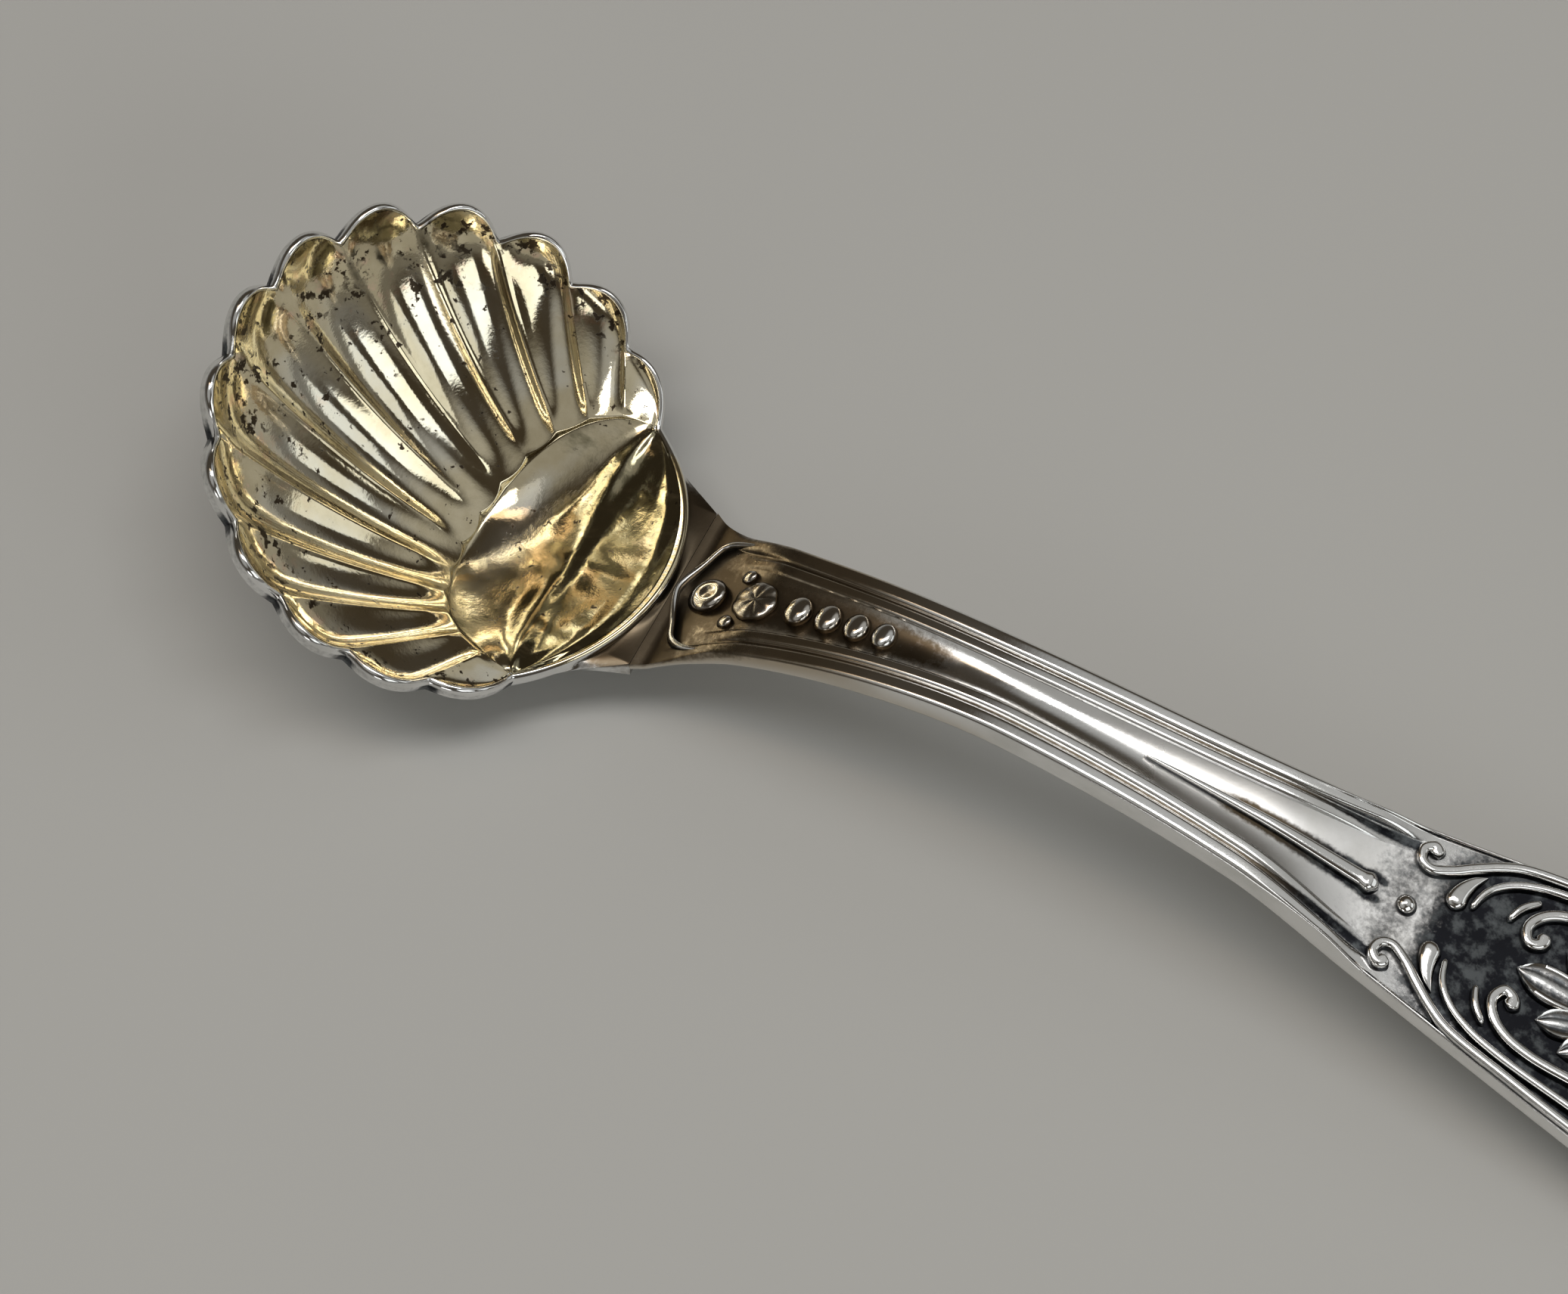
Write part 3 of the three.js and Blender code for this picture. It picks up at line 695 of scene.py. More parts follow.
# Where a colour begins and where it is full, as values of a noise or of a mark
NOISE_MEAN = 0.5
OXIDE_RANGE = (0.2, 0.8)
GILDED_RANGE = (0.4, 0.6)
DULL_RANGE = (0.4, 0.75)
BROWN_RANGE = (0.5, 1)
SLATE_RANGE = (0.44, 0.68)
BROWN_OXIDE_RANGE = (0, 0.5)
DEEP_RANGE = (0.35, 0.7)
PALE_RANGE = (0.15, 0.55)
WORN_RANGE = (0.5, 0.95)
FILM_RANGE = (0.45, 0.75)
GLINT_RANGE = (0.55, 0.68)
PIT_RANGE = (0.63, 0.68)
PIT_CLOUDS = (0.4, 0.5)
ROUGH_RANGE = (0.3, 0.8)
SMOOTHER = 0.7
ROUGHER = 1.4
OXIDE_ROUGHNESS = 0.2
SATIN_ROUGHNESS = 0.2
PIT_ROUGHNESS = 0.25
WORN_ROUGHNESS = 0.07
GOLD_ROUGHNESS = (0.06, 0.13)
# Bump: strength, and height in millimetres
SILVER_BUMP = (0.1, 0.02)
GOLD_BUMP = (0.14, 0.03)


def silver_material(name, roughness, speckle):
    """Silver with oxide colour by its mark for tarnish and painted shade, brown by warmth, dull by satin
    and gold by gilt.
    """
    material, tree, shader = nodes_of(name, 1)
    net = Net(tree)
    cloud = net.noise(*SILVER_CLOUD)
    patch = net.noise(*SILVER_PATCH)
    fine = net.noise(*SILVER_FINE)
    grain = net.math("MULTIPLY", net.math("SUBTRACT", fine, NOISE_MEAN), FINE_SHARE)
    grain = net.math("ADD", grain, net.math("SUBTRACT", patch, NOISE_MEAN))
    spread = net.math("MULTIPLY", grain, speckle)
    dark = net.step(net.math("ADD", net.attribute("tarnish_and_shade"), spread), *OXIDE_RANGE)
    gilded = net.step(net.math("ADD", net.attribute("gilt"), spread), *GILDED_RANGE)
    warm = net.attribute("warmth")
    metal = net.mix(net.step(cloud, *DULL_RANGE), SILVER, DULL_SILVER)
    metal = net.mix(net.step(warm, *BROWN_RANGE), metal, BROWN_SILVER)
    oxide = net.mix(net.step(patch, *SLATE_RANGE), OXIDE, SLATE)
    oxide = net.mix(net.step(warm, *BROWN_OXIDE_RANGE), oxide, BROWN_OXIDE)
    net.link(net.mix(gilded, net.mix(dark, metal, oxide), GOLD), shader.inputs["Base Color"])
    wear = net.step(cloud, *ROUGH_RANGE, roughness * SMOOTHER, roughness * ROUGHER)
    satin = net.math("MULTIPLY", net.attribute("satin"), SATIN_ROUGHNESS)
    dull = net.math("ADD", net.math("MULTIPLY", dark, OXIDE_ROUGHNESS), satin)
    net.link(net.math("ADD", wear, dull), shader.inputs["Roughness"])
    net.link(net.bump(net.math("ADD", fine, patch), *SILVER_BUMP), shader.inputs["Normal"])
    return material


def gold_material(name):
    """Gold wash, thin and pale where it is marked worn, with pits and painted rosy glints towards the edge.
    """
    material, tree, shader = nodes_of(name, 1)
    net = Net(tree)
    cloud = net.noise(*GOLD_CLOUD)
    patch = net.noise(*GOLD_PATCH)
    fine = net.noise(*GOLD_FINE)
    spots = net.noise(*GOLD_SPOTS)
    spread = net.math("MULTIPLY", net.math("SUBTRACT", cloud, NOISE_MEAN), CLOUD_SHARE)
    wear = net.math("ADD", net.attribute("wear"), spread)
    base = net.mix(net.step(patch, *DEEP_RANGE), GOLD, DEEP_GOLD)
    base = net.mix(net.step(wear, *PALE_RANGE), base, PALE_GOLD)
    base = net.mix(net.step(wear, *WORN_RANGE), base, WORN_GOLD)
    streak = net.noise(*GOLD_STREAK, STREAK_STRETCH)
    film = net.math("ADD", net.attribute("film"), net.math("SUBTRACT", streak, NOISE_MEAN))
    filmed = net.step(film, *FILM_RANGE)
    base = net.mix(filmed, base, OLIVE_GOLD)
    edge = net.attribute("edge")
    # Painted glints: rosy patches towards the edge stand in for reflections of a warm lamp.
    base = net.mix(net.math("MULTIPLY", edge, net.step(patch, *GLINT_RANGE)), base, PAINTED_GLINT_GOLD)
    pitted = net.math("ADD", spots, net.math("MULTIPLY", edge, EDGE_PITS))
    pits = net.math("MULTIPLY", net.step(pitted, *PIT_RANGE), net.step(cloud, *PIT_CLOUDS))
    net.link(net.mix(pits, base, PIT), shader.inputs["Base Color"])
    worn = net.step(wear, *WORN_RANGE, 0, WORN_ROUGHNESS)
    dull = net.math("ADD", net.math("MULTIPLY", pits, PIT_ROUGHNESS), worn)
    rough = net.math("ADD", net.step(cloud, *ROUGH_RANGE, *GOLD_ROUGHNESS), dull)
    net.link(rough, shader.inputs["Roughness"])
    net.link(net.bump(net.math("ADD", fine, patch), *GOLD_BUMP), shader.inputs["Normal"])
    return material


silver = silver_material("polished_silver", roughness=0.12, speckle=0.5)
dark_silver = silver_material("oxidised_silver", roughness=0.15, speckle=0.6)
gilt = gold_material("gold_wash")


# Bowl pieces
def rows_of_bowl(counts, reach):
    """Rows from the back rim to the front rim, crowded behind the hinge and at the front."""
    back = -np.linspace(reach, 0, counts[0]) ** BACK_CROWDING
    front = 1 - (1 - np.linspace(0, reach, counts[1])[1:]) ** FRONT_CROWDING
    return np.concatenate([back, front])[:, None]


bowl_u = np.linspace(-HALF_FLUTES, HALF_FLUTES, FLUTES * FLUTE_COLUMNS + 1)
bowl_rows = rows_of_bowl(SHELL_ROWS, 1)
rim_out, rim_lift = np.array(RIM_PROFILE).T[..., None]


def stub_hold(points):
    """1 on the stub, 0 beside its fillets."""
    return np.clip(1 - (np.abs(points[..., 1]) - STUB_HALF_WIDTH) / STUB_FILLET, 0, 1) ** 2


def drawn_to_stub(points, rows):
    """The stub draws the back of the outer face out to the plane of the joint."""
    hold = stub_hold(points) * (1 - smooth(STUB_DROP_ROW, STUB_FADE_ROW, 1 + rows))
    down = (STUB_THICKNESS - SINK) * np.clip((1 + rows) / STUB_DROP_ROW, 0, 1)
    target = points.copy()
    target[..., 0] = JOINT_X
    target[..., 2] = NECK_TOP[2] - SINK - down
    return lerp(points, target, hold[..., None])


outer_rows = np.concatenate([np.array(STUB_ROWS)[:, None], bowl_rows[bowl_rows[:, 0] > STUB_ROWS_END]])
outer = bowl_point(bowl_u, outer_rows, out=RIM_WIDTH - FIT, lobe=0.0, drop=WALL, lift=-RIM_DEPTH)
outer = drawn_to_stub(outer, outer_rows)
outer[..., 2] = np.maximum(outer[..., 2], -BOWL_PLACE[2])
inner = bowl_point(bowl_u, bowl_rows)
rim_front = bowl_point(bowl_u, 1.0, out=rim_out, lobe=0.0, lift=rim_lift)
rim_back = bowl_point(bowl_u, -1.0, out=rim_out, lobe=0.0, lift=rim_lift)
web_share = np.linspace(0, 1, WEB_STEPS)[1:, None, None]
web_foot = drawn_to_stub(rim_back[-1:], np.array([[-1.0]]))
web_rows = lerp(rim_back[-2:-1], web_foot, web_share)
web_rows[..., 2] = lerp(rim_back[-2:-1, :, 2], web_foot[..., 2], 1 - (1 - web_share[..., 0]) ** 2)
rim_back = np.concatenate([rim_back[:-1], web_rows])
loop = np.concatenate([inner, rim_front, outer[::-1], rim_back[::-1]])
loop = np.concatenate([loop, loop[:1]])
lip_end = len(inner) + len(rim_front)
back_start = lip_end + len(outer)
shell_tarnish_and_shade = np.zeros(loop.shape[:2])
shell_gilt = np.zeros(loop.shape[:2])
profile_rows = np.arange(len(RIM_PROFILE) - 1)
web = np.concatenate([profile_rows, profile_rows[-1] + web_share.ravel()])[::-1, None] / len(profile_rows)
shell_tarnish_and_shade[back_start:-1] = np.sqrt(stub_hold(rim_back[::-1])) * smooth(*WEB_DARK, web)
stub_side = np.sqrt(stub_hold(outer[STUB_SIDE_ROWS - 1::-1]))
shell_tarnish_and_shade[back_start - STUB_SIDE_ROWS:back_start] = STUB_SIDE_TARNISH * stub_side
shell_gilt[back_start:-1] = smooth(*RIM_GILT_SPAN, np.abs(bowl_u)) * smooth(*RIM_GILT, web)
shell_gilt[-1] = shell_gilt[-2]
shell_warmth = shell_tarnish_and_shade.copy()
# Painted shade mixed with tarnish: the outer face of the lip and the band under it are darkened, most where
# the scallops meet, to stand in for the shade and dark reflection under the rim.
lip_shade = LIP_SHADE_AND_TARNISH + CREASE_SHADE_AND_TARNISH * smooth(*CREASE_DARK, ridge(bowl_u))
shell_tarnish_and_shade[lip_end - LIP_FACE_ROWS:lip_end] = lip_shade
below_lip = smooth(*BELOW_LIP_DARK, outer_rows[::-1]) * lip_shade
shell_tarnish_and_shade[lip_end:back_start] = np.maximum(shell_tarnish_and_shade[lip_end:back_start], below_lip)
shell_marks = {"tarnish_and_shade": shell_tarnish_and_shade, "warmth": shell_warmth, "gilt": shell_gilt}
shell_corners = (loop + BOWL_PLACE).reshape(-1, 3)
make_piece("bowl_shell", shell_corners, quads(*loop.shape[:2]).tolist(), silver, shell_marks)

gilt_u = np.linspace(-HALF_FLUTES + GILT_MARGIN, HALF_FLUTES - GILT_MARGIN, FLUTES * FLUTE_COLUMNS + 1)
gilt_rows = rows_of_bowl(GILT_ROWS, GILT_REACH)
edge = 1 - np.abs(gilt_rows) ** GILT_END_CURVE
edge = edge * (1 - np.abs(gilt_u / HALF_FLUTES) ** GILT_SIDE_CURVE)
slant, cross = (across_u * gilt_u + along_row * gilt_rows for across_u, along_row in RIPPLE_WAVES)
waves = np.sin(slant) * np.sin(cross + np.sin(RIPPLE_SWAY * gilt_u))
wall = smooth(WALL_START, WALL_FULL, gilt_rows)
ripple = RIPPLE * waves * wall * edge * np.cos(gilt_u / HALF_FLUTES * math.pi / 2)
gilt_lift = GILT_EDGE_LIFT + (GILT_LIFT - GILT_EDGE_LIFT) * edge + ripple
gilt_upper = bowl_point(gilt_u, gilt_rows, lift=gilt_lift) + BOWL_PLACE
gilt_lower = bowl_point(gilt_u, gilt_rows, lift=SEAT) + BOWL_PLACE
gilt_corners, gilt_faces = slab(gilt_upper, gilt_lower)
channel = (1 - ridge(gilt_u)) * smooth(*CHANNEL_BEGIN, gilt_rows) * smooth(*CHANNEL_END, gilt_rows)
trough = bell(gilt_rows, TROUGH_ROW, TROUGH_ROW_WIDTH) * bell(gilt_u, TROUGH_MIDDLE, TROUGH_WORN_SPAN)
gilt_wear = CHANNEL_WEAR * channel + TROUGH_WEAR * trough
gilt_edge = smooth(*PITTED_EDGE, gilt_rows) * np.ones_like(gilt_u)
crest_film = CREST_FILM * ridge(gilt_u) ** 2 * smooth(*CREST_BEGIN, gilt_rows)
beside_middle = 1 - bell(gilt_u, TROUGH_MIDDLE, TROUGH_CLEAR_SPAN)
trough_film = TROUGH_FILM * smooth(*TROUGH_BEGIN, gilt_rows) * beside_middle
wall_film = WALL_FILM * wall * np.ones_like(gilt_u)
gilt_film = np.maximum.reduce([wall_film, crest_film, trough_film])
gilt_marks = {"wear": gilt_wear, "edge": gilt_edge, "film": gilt_film}
gilt_marks = {name: np.tile(values.ravel(), 2) for name, values in gilt_marks.items()}
make_piece("bowl_gilding", gilt_corners, gilt_faces.tolist(), gilt, gilt_marks)

# Handle piece
along = np.concatenate([
    np.linspace(0, WIDEST_X, SHANK_STEPS, endpoint=False),
    WIDEST_X + TIP_LENGTH * np.sin(np.linspace(0, math.pi / 2, TIP_STEPS)),
])[:, None]
middle = np.linspace(0, 1, PANEL_STEPS)[1:-1]
from_edge = np.linspace(0, BAND, BAND_STEPS) * border_scale(along)
wide = half_width(along)
inner_width = wide - BAND * border_scale(along)
right = -wide + from_edge
across = np.concatenate([right, lerp(-inner_width, inner_width, middle), -right[:, ::-1]], axis=1)
to_edge = wide - np.abs(across)
top_z = panel(along, across) + reed_rise(along, to_edge)
along_all = np.broadcast_to(along, across.shape)
top = np.stack([along_all, across, top_z], axis=-1)


def under_height(x, y):
    return np.maximum(side_line(x) - thickness(x) * (1 - UNDER_CROWN * (y / half_width(x)) ** 2), 0)


turn = np.linspace(0, math.pi / 2, SIDE_STEPS)
side_y = wide - SIDE_ROUND * (1 - np.cos(turn))
side_z = under_height(along, wide) + SIDE_ROUND * (1 - np.sin(turn))
side_x = np.broadcast_to(along, side_y.shape)
flat_y = np.linspace(1, -1, UNDER_STEPS)[1:-1] * (wide - SIDE_ROUND)
flat = np.stack([np.broadcast_to(along, flat_y.shape), flat_y, under_height(along, flat_y)], axis=-1)
left_side = np.stack([side_x, side_y, side_z], axis=-1)
right_side = np.stack([side_x, -side_y, side_z], axis=-1)[:, ::-1]
ring = np.concatenate([top, left_side, flat, right_side], axis=1)
ring = np.concatenate([ring, ring[:, :1]], axis=1)


def clubbed(t):
    """Width of the rib along its length, thin at the start and with a round club at the end."""
    club = RIB_CLUB * bell(t, RIB_CLUB_PLACE, RIB_CLUB_LENGTH)
    return RIB_START_WIDTH + RIB_GROWTH * t**RIB_GROWTH_CURVE + club


share = np.abs(across) / wide
past_shoulder = along_all - SHOULDER_X
dark_ground = smooth(*FIELD_DARK, past_shoulder) * smooth(*TIP_DARK, along_all)
dark_ground = dark_ground * smooth(*BEAD_DARK, to_edge)
beside_scroll = smooth(*SCROLL_SHINE_SIDE, share) * smooth(*SCROLL_SHINE, past_shoulder)
dark_ground = dark_ground * (1 - SCROLL_POLISH * beside_scroll)
dusk = DUSK_TARNISH * bell(past_shoulder, DUSK_PLACE, DUSK_LENGTH) * smooth(*DUSK_SIDE, share)
near_shoulder = smooth(FLARE_X, SHOULDER_X, along_all)
line_at = 2 * OUTER_REED_HALF + lerp(REED_LINE / 2, GROOVE_SHIFT, near_shoulder)
line_half = lerp(GROOVE_THIN, GROOVE_BROAD, near_shoulder)
reeds_there = outer_begun(along_all) * smooth(*REEDS_CEASE, past_shoulder)
groove = GROOVE_TARNISH * bell(to_edge / border_scale(along), line_at, line_half) * reeds_there
# Partly painted shade, partly oxide: the neck, the joint and the middle of the panel before the arch are
# darkened to stand in for dark reflections there.
neck_panel = PANEL_SHADE_AND_TARNISH * smooth(*PANEL_DARK, along_all) * smooth(*PANEL_DARK_SIDE, to_edge)
neck_ground = np.maximum(neck_panel, NECK_SHADE_AND_TARNISH * smooth(*NECK_DARK, along_all))
web_ground = WEB_SHADE_AND_TARNISH * smooth(*JOINT_DARK, along_all)
# Painted shade: the dark bands along both sides of the centre rib stand in for its shaded flanks.
rib_t = np.clip(1 - (RIB_END_X - along_all) / RIB_LENGTH, 0, 1)
rib_run = smooth(*RIB_DARK, rib_t) * smooth(RIB_END_X + RIB_DARK_PAST, RIB_END_X, along_all)
from_rib = np.abs(across) - RIB_HALF_WIDTH * clubbed(rib_t)
rib_shade = RIB_SIDE_SHADE * bell(from_rib, 0, RIB_SIDE_WIDTH) * rib_run
dark = np.maximum.reduce([dark_ground, dusk, groove, neck_ground, web_ground, rib_shade])
warm = NECK_WARMTH * smooth(*NECK_WARM, along_all) + SHANK_WARMTH * smooth(*SHANK_WARM, along_all)
warm_beside = SIDE_WARMTH * smooth(*SIDE_WARM, along)
satin = smooth(*SATIN, along_all) * smooth(*SATIN_SIDE, to_edge)


def around_ring(values, beside=0.0):
    """Marks of the top, and those of the sides and the underside, all round the ring."""
    ring_values = np.broadcast_to(beside, ring.shape[:2]).copy()
    ring_values[:, :values.shape[1]] = values
    ring_values[:, -1] = values[:, 0]
    return np.concatenate([ring_values.ravel(), [0, 0]])


handle_marks = {
    "tarnish_and_shade": around_ring(dark),
    "warmth": around_ring(warm, warm_beside),
    "satin": around_ring(satin),
}
handle_place = np.array([HANDLE_START, 0, 0])
# Both ends are closed by a fan
ends = np.array([[0, 0, side_line(0) - NECK_END_DROP], [TIP_X, 0, TIP_HEIGHT / 2]])
count = ring.shape[0] * ring.shape[1]
columns = ring.shape[1]
first = np.arange(columns - 1)
last = (ring.shape[0] - 1) * columns + first
fans = [[count, int(a), int(a + 1)] for a in first] + [[count + 1, int(a + 1), int(a)] for a in last]
handle_corners = np.concatenate([ring.reshape(-1, 3), ends]) + handle_place
handle_faces = quads(*ring.shape[:2]).tolist() + fans
make_piece("handle_shank", handle_corners, handle_faces, dark_silver, handle_marks,
           sharp=HANDLE_SHARP_ANGLE)


# Ornament
def laid(x, y, h):
    return np.stack([x + HANDLE_START, y, panel(x, y) + SEAT + h], axis=-1)


def boss(node, x, y, radius, height, petals=0, dimple=0.0, oval=1.0, dull=0.0):
    """A round dome, with petals round its edge or a dimple on top where they are asked for."""
    turn = np.linspace(0, 2 * math.pi, BOSS_TURNS)[None, :]
    rings = np.linspace(-BOSS_SKIRT, 1, BOSS_RINGS)[:, None]
    rise = np.maximum(rings, 0) * math.pi / 2
    notch = 1 - np.abs(np.cos(petals * turn / 2))
    r = radius * (1 - PETAL_NOTCH_WIDTH * notch) * np.cos(rise)
    h = np.where(rings < 0, rings * BOSS_SINK, height * (BOSS_EDGE + (1 - BOSS_EDGE) * np.sin(rise)))
    hollow = bell(rings, 1, BOSS_HOLLOW)
    h = h * (1 - PETAL_NOTCH_DEPTH * notch * np.cos(rise)) - dimple * hollow
    points = laid(x + r * np.cos(turn), y + oval * r * np.sin(turn), h)
    low = np.maximum(1 - smooth(*BOSS_SHINE, np.broadcast_to(rings, r.shape)), dull)
    low = np.maximum(low, NOTCH_TARNISH * smooth(*NOTCH_DARK, notch) * (petals > 0))
    low = np.maximum(low, DIMPLE_TARNISH * hollow * (dimple > 0))
    warmth = np.full(low.shape, BOSS_WARMTH * smooth(*BOSS_WARM, x))
    make_piece(node, points.reshape(-1, 3), quads(*points.shape[:2]).tolist(), silver,
               {"tarnish_and_shade": low, "warmth": warmth})


def spline(path, count):
    """Points on a smooth curve through a path."""
    pts = np.array(path, float)
    gaps = np.sqrt(np.linalg.norm(np.diff(pts, axis=0), axis=1))
    knots = np.concatenate([[0], np.cumsum(gaps)])
    t = np.linspace(0, len(pts) - 1, count)
    i = np.minimum(t.astype(int), len(pts) - 2)
    knot = lerp(knots[i], knots[i + 1], t - i)
    return np.stack([hermite(knots, pts[:, k], knot) for k in (0, 1)], axis=-1)


def hermite(knots, values, at):
    """Value of a smooth curve through the values at the knots."""
    step = np.diff(knots)
    rate = np.diff(values) / step
    slope = np.empty(len(values))
    slope[1:-1] = (rate[:-1] * step[1:] + rate[1:] * step[:-1]) / (step[1:] + step[:-1])
    slope[0] = 1.5 * rate[0] - 0.5 * slope[1]
    slope[-1] = 1.5 * rate[-1] - 0.5 * slope[-2]
    i = np.clip(np.searchsorted(knots, at, side="right") - 1, 0, len(step) - 1)
    s = (at - knots[i]) / step[i]
    return (lerp(values[i], values[i + 1], s * s * (3 - 2 * s))
            + s * (1 - s) * step[i] * (slope[i] * (1 - s) - slope[i + 1] * s))


def rounded(k):
    """Section of a scroll, round over a broad top."""
    return np.maximum(1 - k**WIRE_TOP_CURVE, 0) ** WIRE_SIDE_CURVE


def leaf(k):
    """Section of a leaf, hollowed on both sides of a low vein, with a raised edge."""
    vein = LEAF_VEIN * bell(k, 0, LEAF_VEIN_WIDTH)
    edge = LEAF_EDGE * bell(np.abs(k), LEAF_EDGE_PLACE, LEAF_EDGE_WIDTH)
    return (LEAF_HOLLOW + vein + edge) * (1 - np.abs(k) ** LEAF_SIDE_CURVE)


def wire(node, path, half_wide, height, taper, steps, section=rounded, knob=0.0):
    """A raised line along a path, with round ends, and with knobs there where they are asked for."""
    count = (len(path) - 1) * steps + 1
    centre = spline(path, count)
    t = np.linspace(0, 1, count)[:, None]
    direction = np.gradient(centre, axis=0)
    direction = direction / np.linalg.norm(direction, axis=1)[:, None]
    k = np.sin(np.linspace(-math.pi / 2, math.pi / 2, WIRE_COLUMNS))[None, :]
    strides = np.linalg.norm(np.diff(centre, axis=0), axis=1)
    run = np.concatenate([[0], np.cumsum(strides)])[:, None]
    from_end = np.minimum(run, run[-1] - run) / half_wide
    closing = np.sqrt(np.clip(1 - (1 - np.minimum(from_end, 1)) ** 2, WIRE_LEAST_WIDTH, 1))
    fullness = taper(t) * closing * (1 + knob * bell(from_end, 1, 1))
    off = half_wide * fullness * k
    high = height * lerp(WIRE_LEAST_HEIGHT, 1, np.minimum(fullness, 1)) * section(k)
    x = centre[:, :1] - direction[:, 1:] * off
    y = centre[:, 1:] + direction[:, :1] * off
    upper = laid(x, y, high)
    lower = laid(x, y, np.full_like(high, -ROOT))
    corners, faces = slab(upper, lower)
    low = 1 - smooth(*WIRE_SHINE, np.broadcast_to(section(k), x.shape))
    make_piece(node, corners, faces.tolist(), silver,
               {"tarnish_and_shade": np.concatenate([low.ravel(), np.ones(low.size)])}, sharp=WIRE_SHARP_ANGLE)


def even(t):
    return np.ones_like(t)


def petal(t):
    """Narrow at the start, broadest near the blunt tip."""
    return LEAF_ROOT_WIDTH + LEAF_SWELL * np.sin(math.pi * t**LEAF_SWELL_SHIFT) ** LEAF_SWELL_CURVE


def teardrop(t):
    return 1 - TEARDROP_TAPER * t**TEARDROP_CURVE


def run_in(t):
    return np.clip(np.minimum(t, 1 - t) * BAR_RUN_IN, BAR_LEAST_WIDTH, 1) ** 0.5


def hooked(t):
    return HOOK_END_WIDTH + HOOK_SWELL * np.sin(math.pi * t) ** HOOK_SWELL_CURVE


bar_right = [
    (NECK_BAR_X + NECK_BAR_DEPTH * k**NECK_BAR_CURVE, -NECK_BAR_HALF_SPAN * k) for k in NECK_BAR_STATIONS
]
bar_right.append((BAR_JOIN_X, OUTER_REED_HALF - float(half_width(BAR_JOIN_X))))
bar_left = [(x, -y) for x, y in bar_right]
bar = bar_right[::-1] + [(NECK_BAR_X, 0)] + bar_left
wire("neck_bar", bar, NECK_BAR_HALF_WIDTH, SCROLL_HEIGHT, run_in, BAR_STEPS)
neck_pearl_x = NECK_BAR_X + NECK_BAR_HALF_WIDTH + MOTIF_GAP + NECK_PEARL_RADIUS
boss("neck_pearl", neck_pearl_x, 0, NECK_PEARL_RADIUS, NECK_PEARL_HEIGHT,
     dimple=PEARL_DIMPLE, dull=PEARL_DULL)
palmette_x = neck_pearl_x + NECK_PEARL_RADIUS + MOTIF_GAP + PALMETTE_RADIUS
boss("neck_palmette", palmette_x, 0, PALMETTE_RADIUS, PALMETTE_HEIGHT, PETALS,
     dimple=PALMETTE_DIMPLE, dull=PALMETTE_DULL)
drop_x = palmette_x + PALMETTE_RADIUS + MOTIF_GAP
for number, radius in enumerate(DROP_RADII, 1):
    boss(f"drop_pearl_{number}", drop_x + radius, 0, radius, radius * DROP_RISE,
         oval=DROP_OVAL, dull=DROP_DULL)
    drop_x += 2 * radius + PEARL_GAP
rib = [(RIB_END_X - RIB_LENGTH, 0), (RIB_END_X - RIB_LENGTH / 2, 0), (RIB_END_X, 0)]
wire("centre_rib", rib, RIB_HALF_WIDTH, RIB_HEIGHT, clubbed, RIB_STEPS)
boss("rib_pearl", RIB_PEARL_X, 0, RIB_PEARL_RADIUS, RIB_PEARL_RADIUS)

# Scrolls: distance from the rosette as a share of the field, and from the axis as a share of the half width
FRAME_HALF = ((0.972, 0.67), (1, 0.77), (1.033, 0.7), (1.02, 0.565), (0.979, 0.51), (0.908, 0.59),
              (0.841, 0.71), (0.757, 0.835), (0.67, 0.91), (0.4, 0.93), (0.12, 0.935))
INNER_FRAME_HALF = ((0.786, 0.3), (0.759, 0.54), (0.696, 0.695), (0.598, 0.785), (0.45, 0.815),
                    (0.12, 0.8))
CURL_HALF = ((0.504, 0.4), (0.507, 0.29), (0.545, 0.26), (0.573, 0.385), (0.545, 0.525), (0.478, 0.62),
             (0.36, 0.65), (0.12, 0.6))
SPRAY = ((0.848, 0.21), (0.846, 0.4), (0.823, 0.56), (0.78, 0.69))
HOOK = ((0.647, 0.36), (0.62, 0.53), (0.562, 0.66))


def in_handle(points, side, end):
    """Points of one motif on the handle, on the side and towards the end that are asked for."""
    xs = [ROSETTE_X - end * k * FIELD for k, _ in points]
    return [(x, side * m * float(half_width(x))) for x, (_, m) in zip(xs, points)]


def through_field(points, side):
    """A line from one end of the field to the other."""
    return in_handle(points, side, 1) + in_handle(points, side, -1)[::-1]


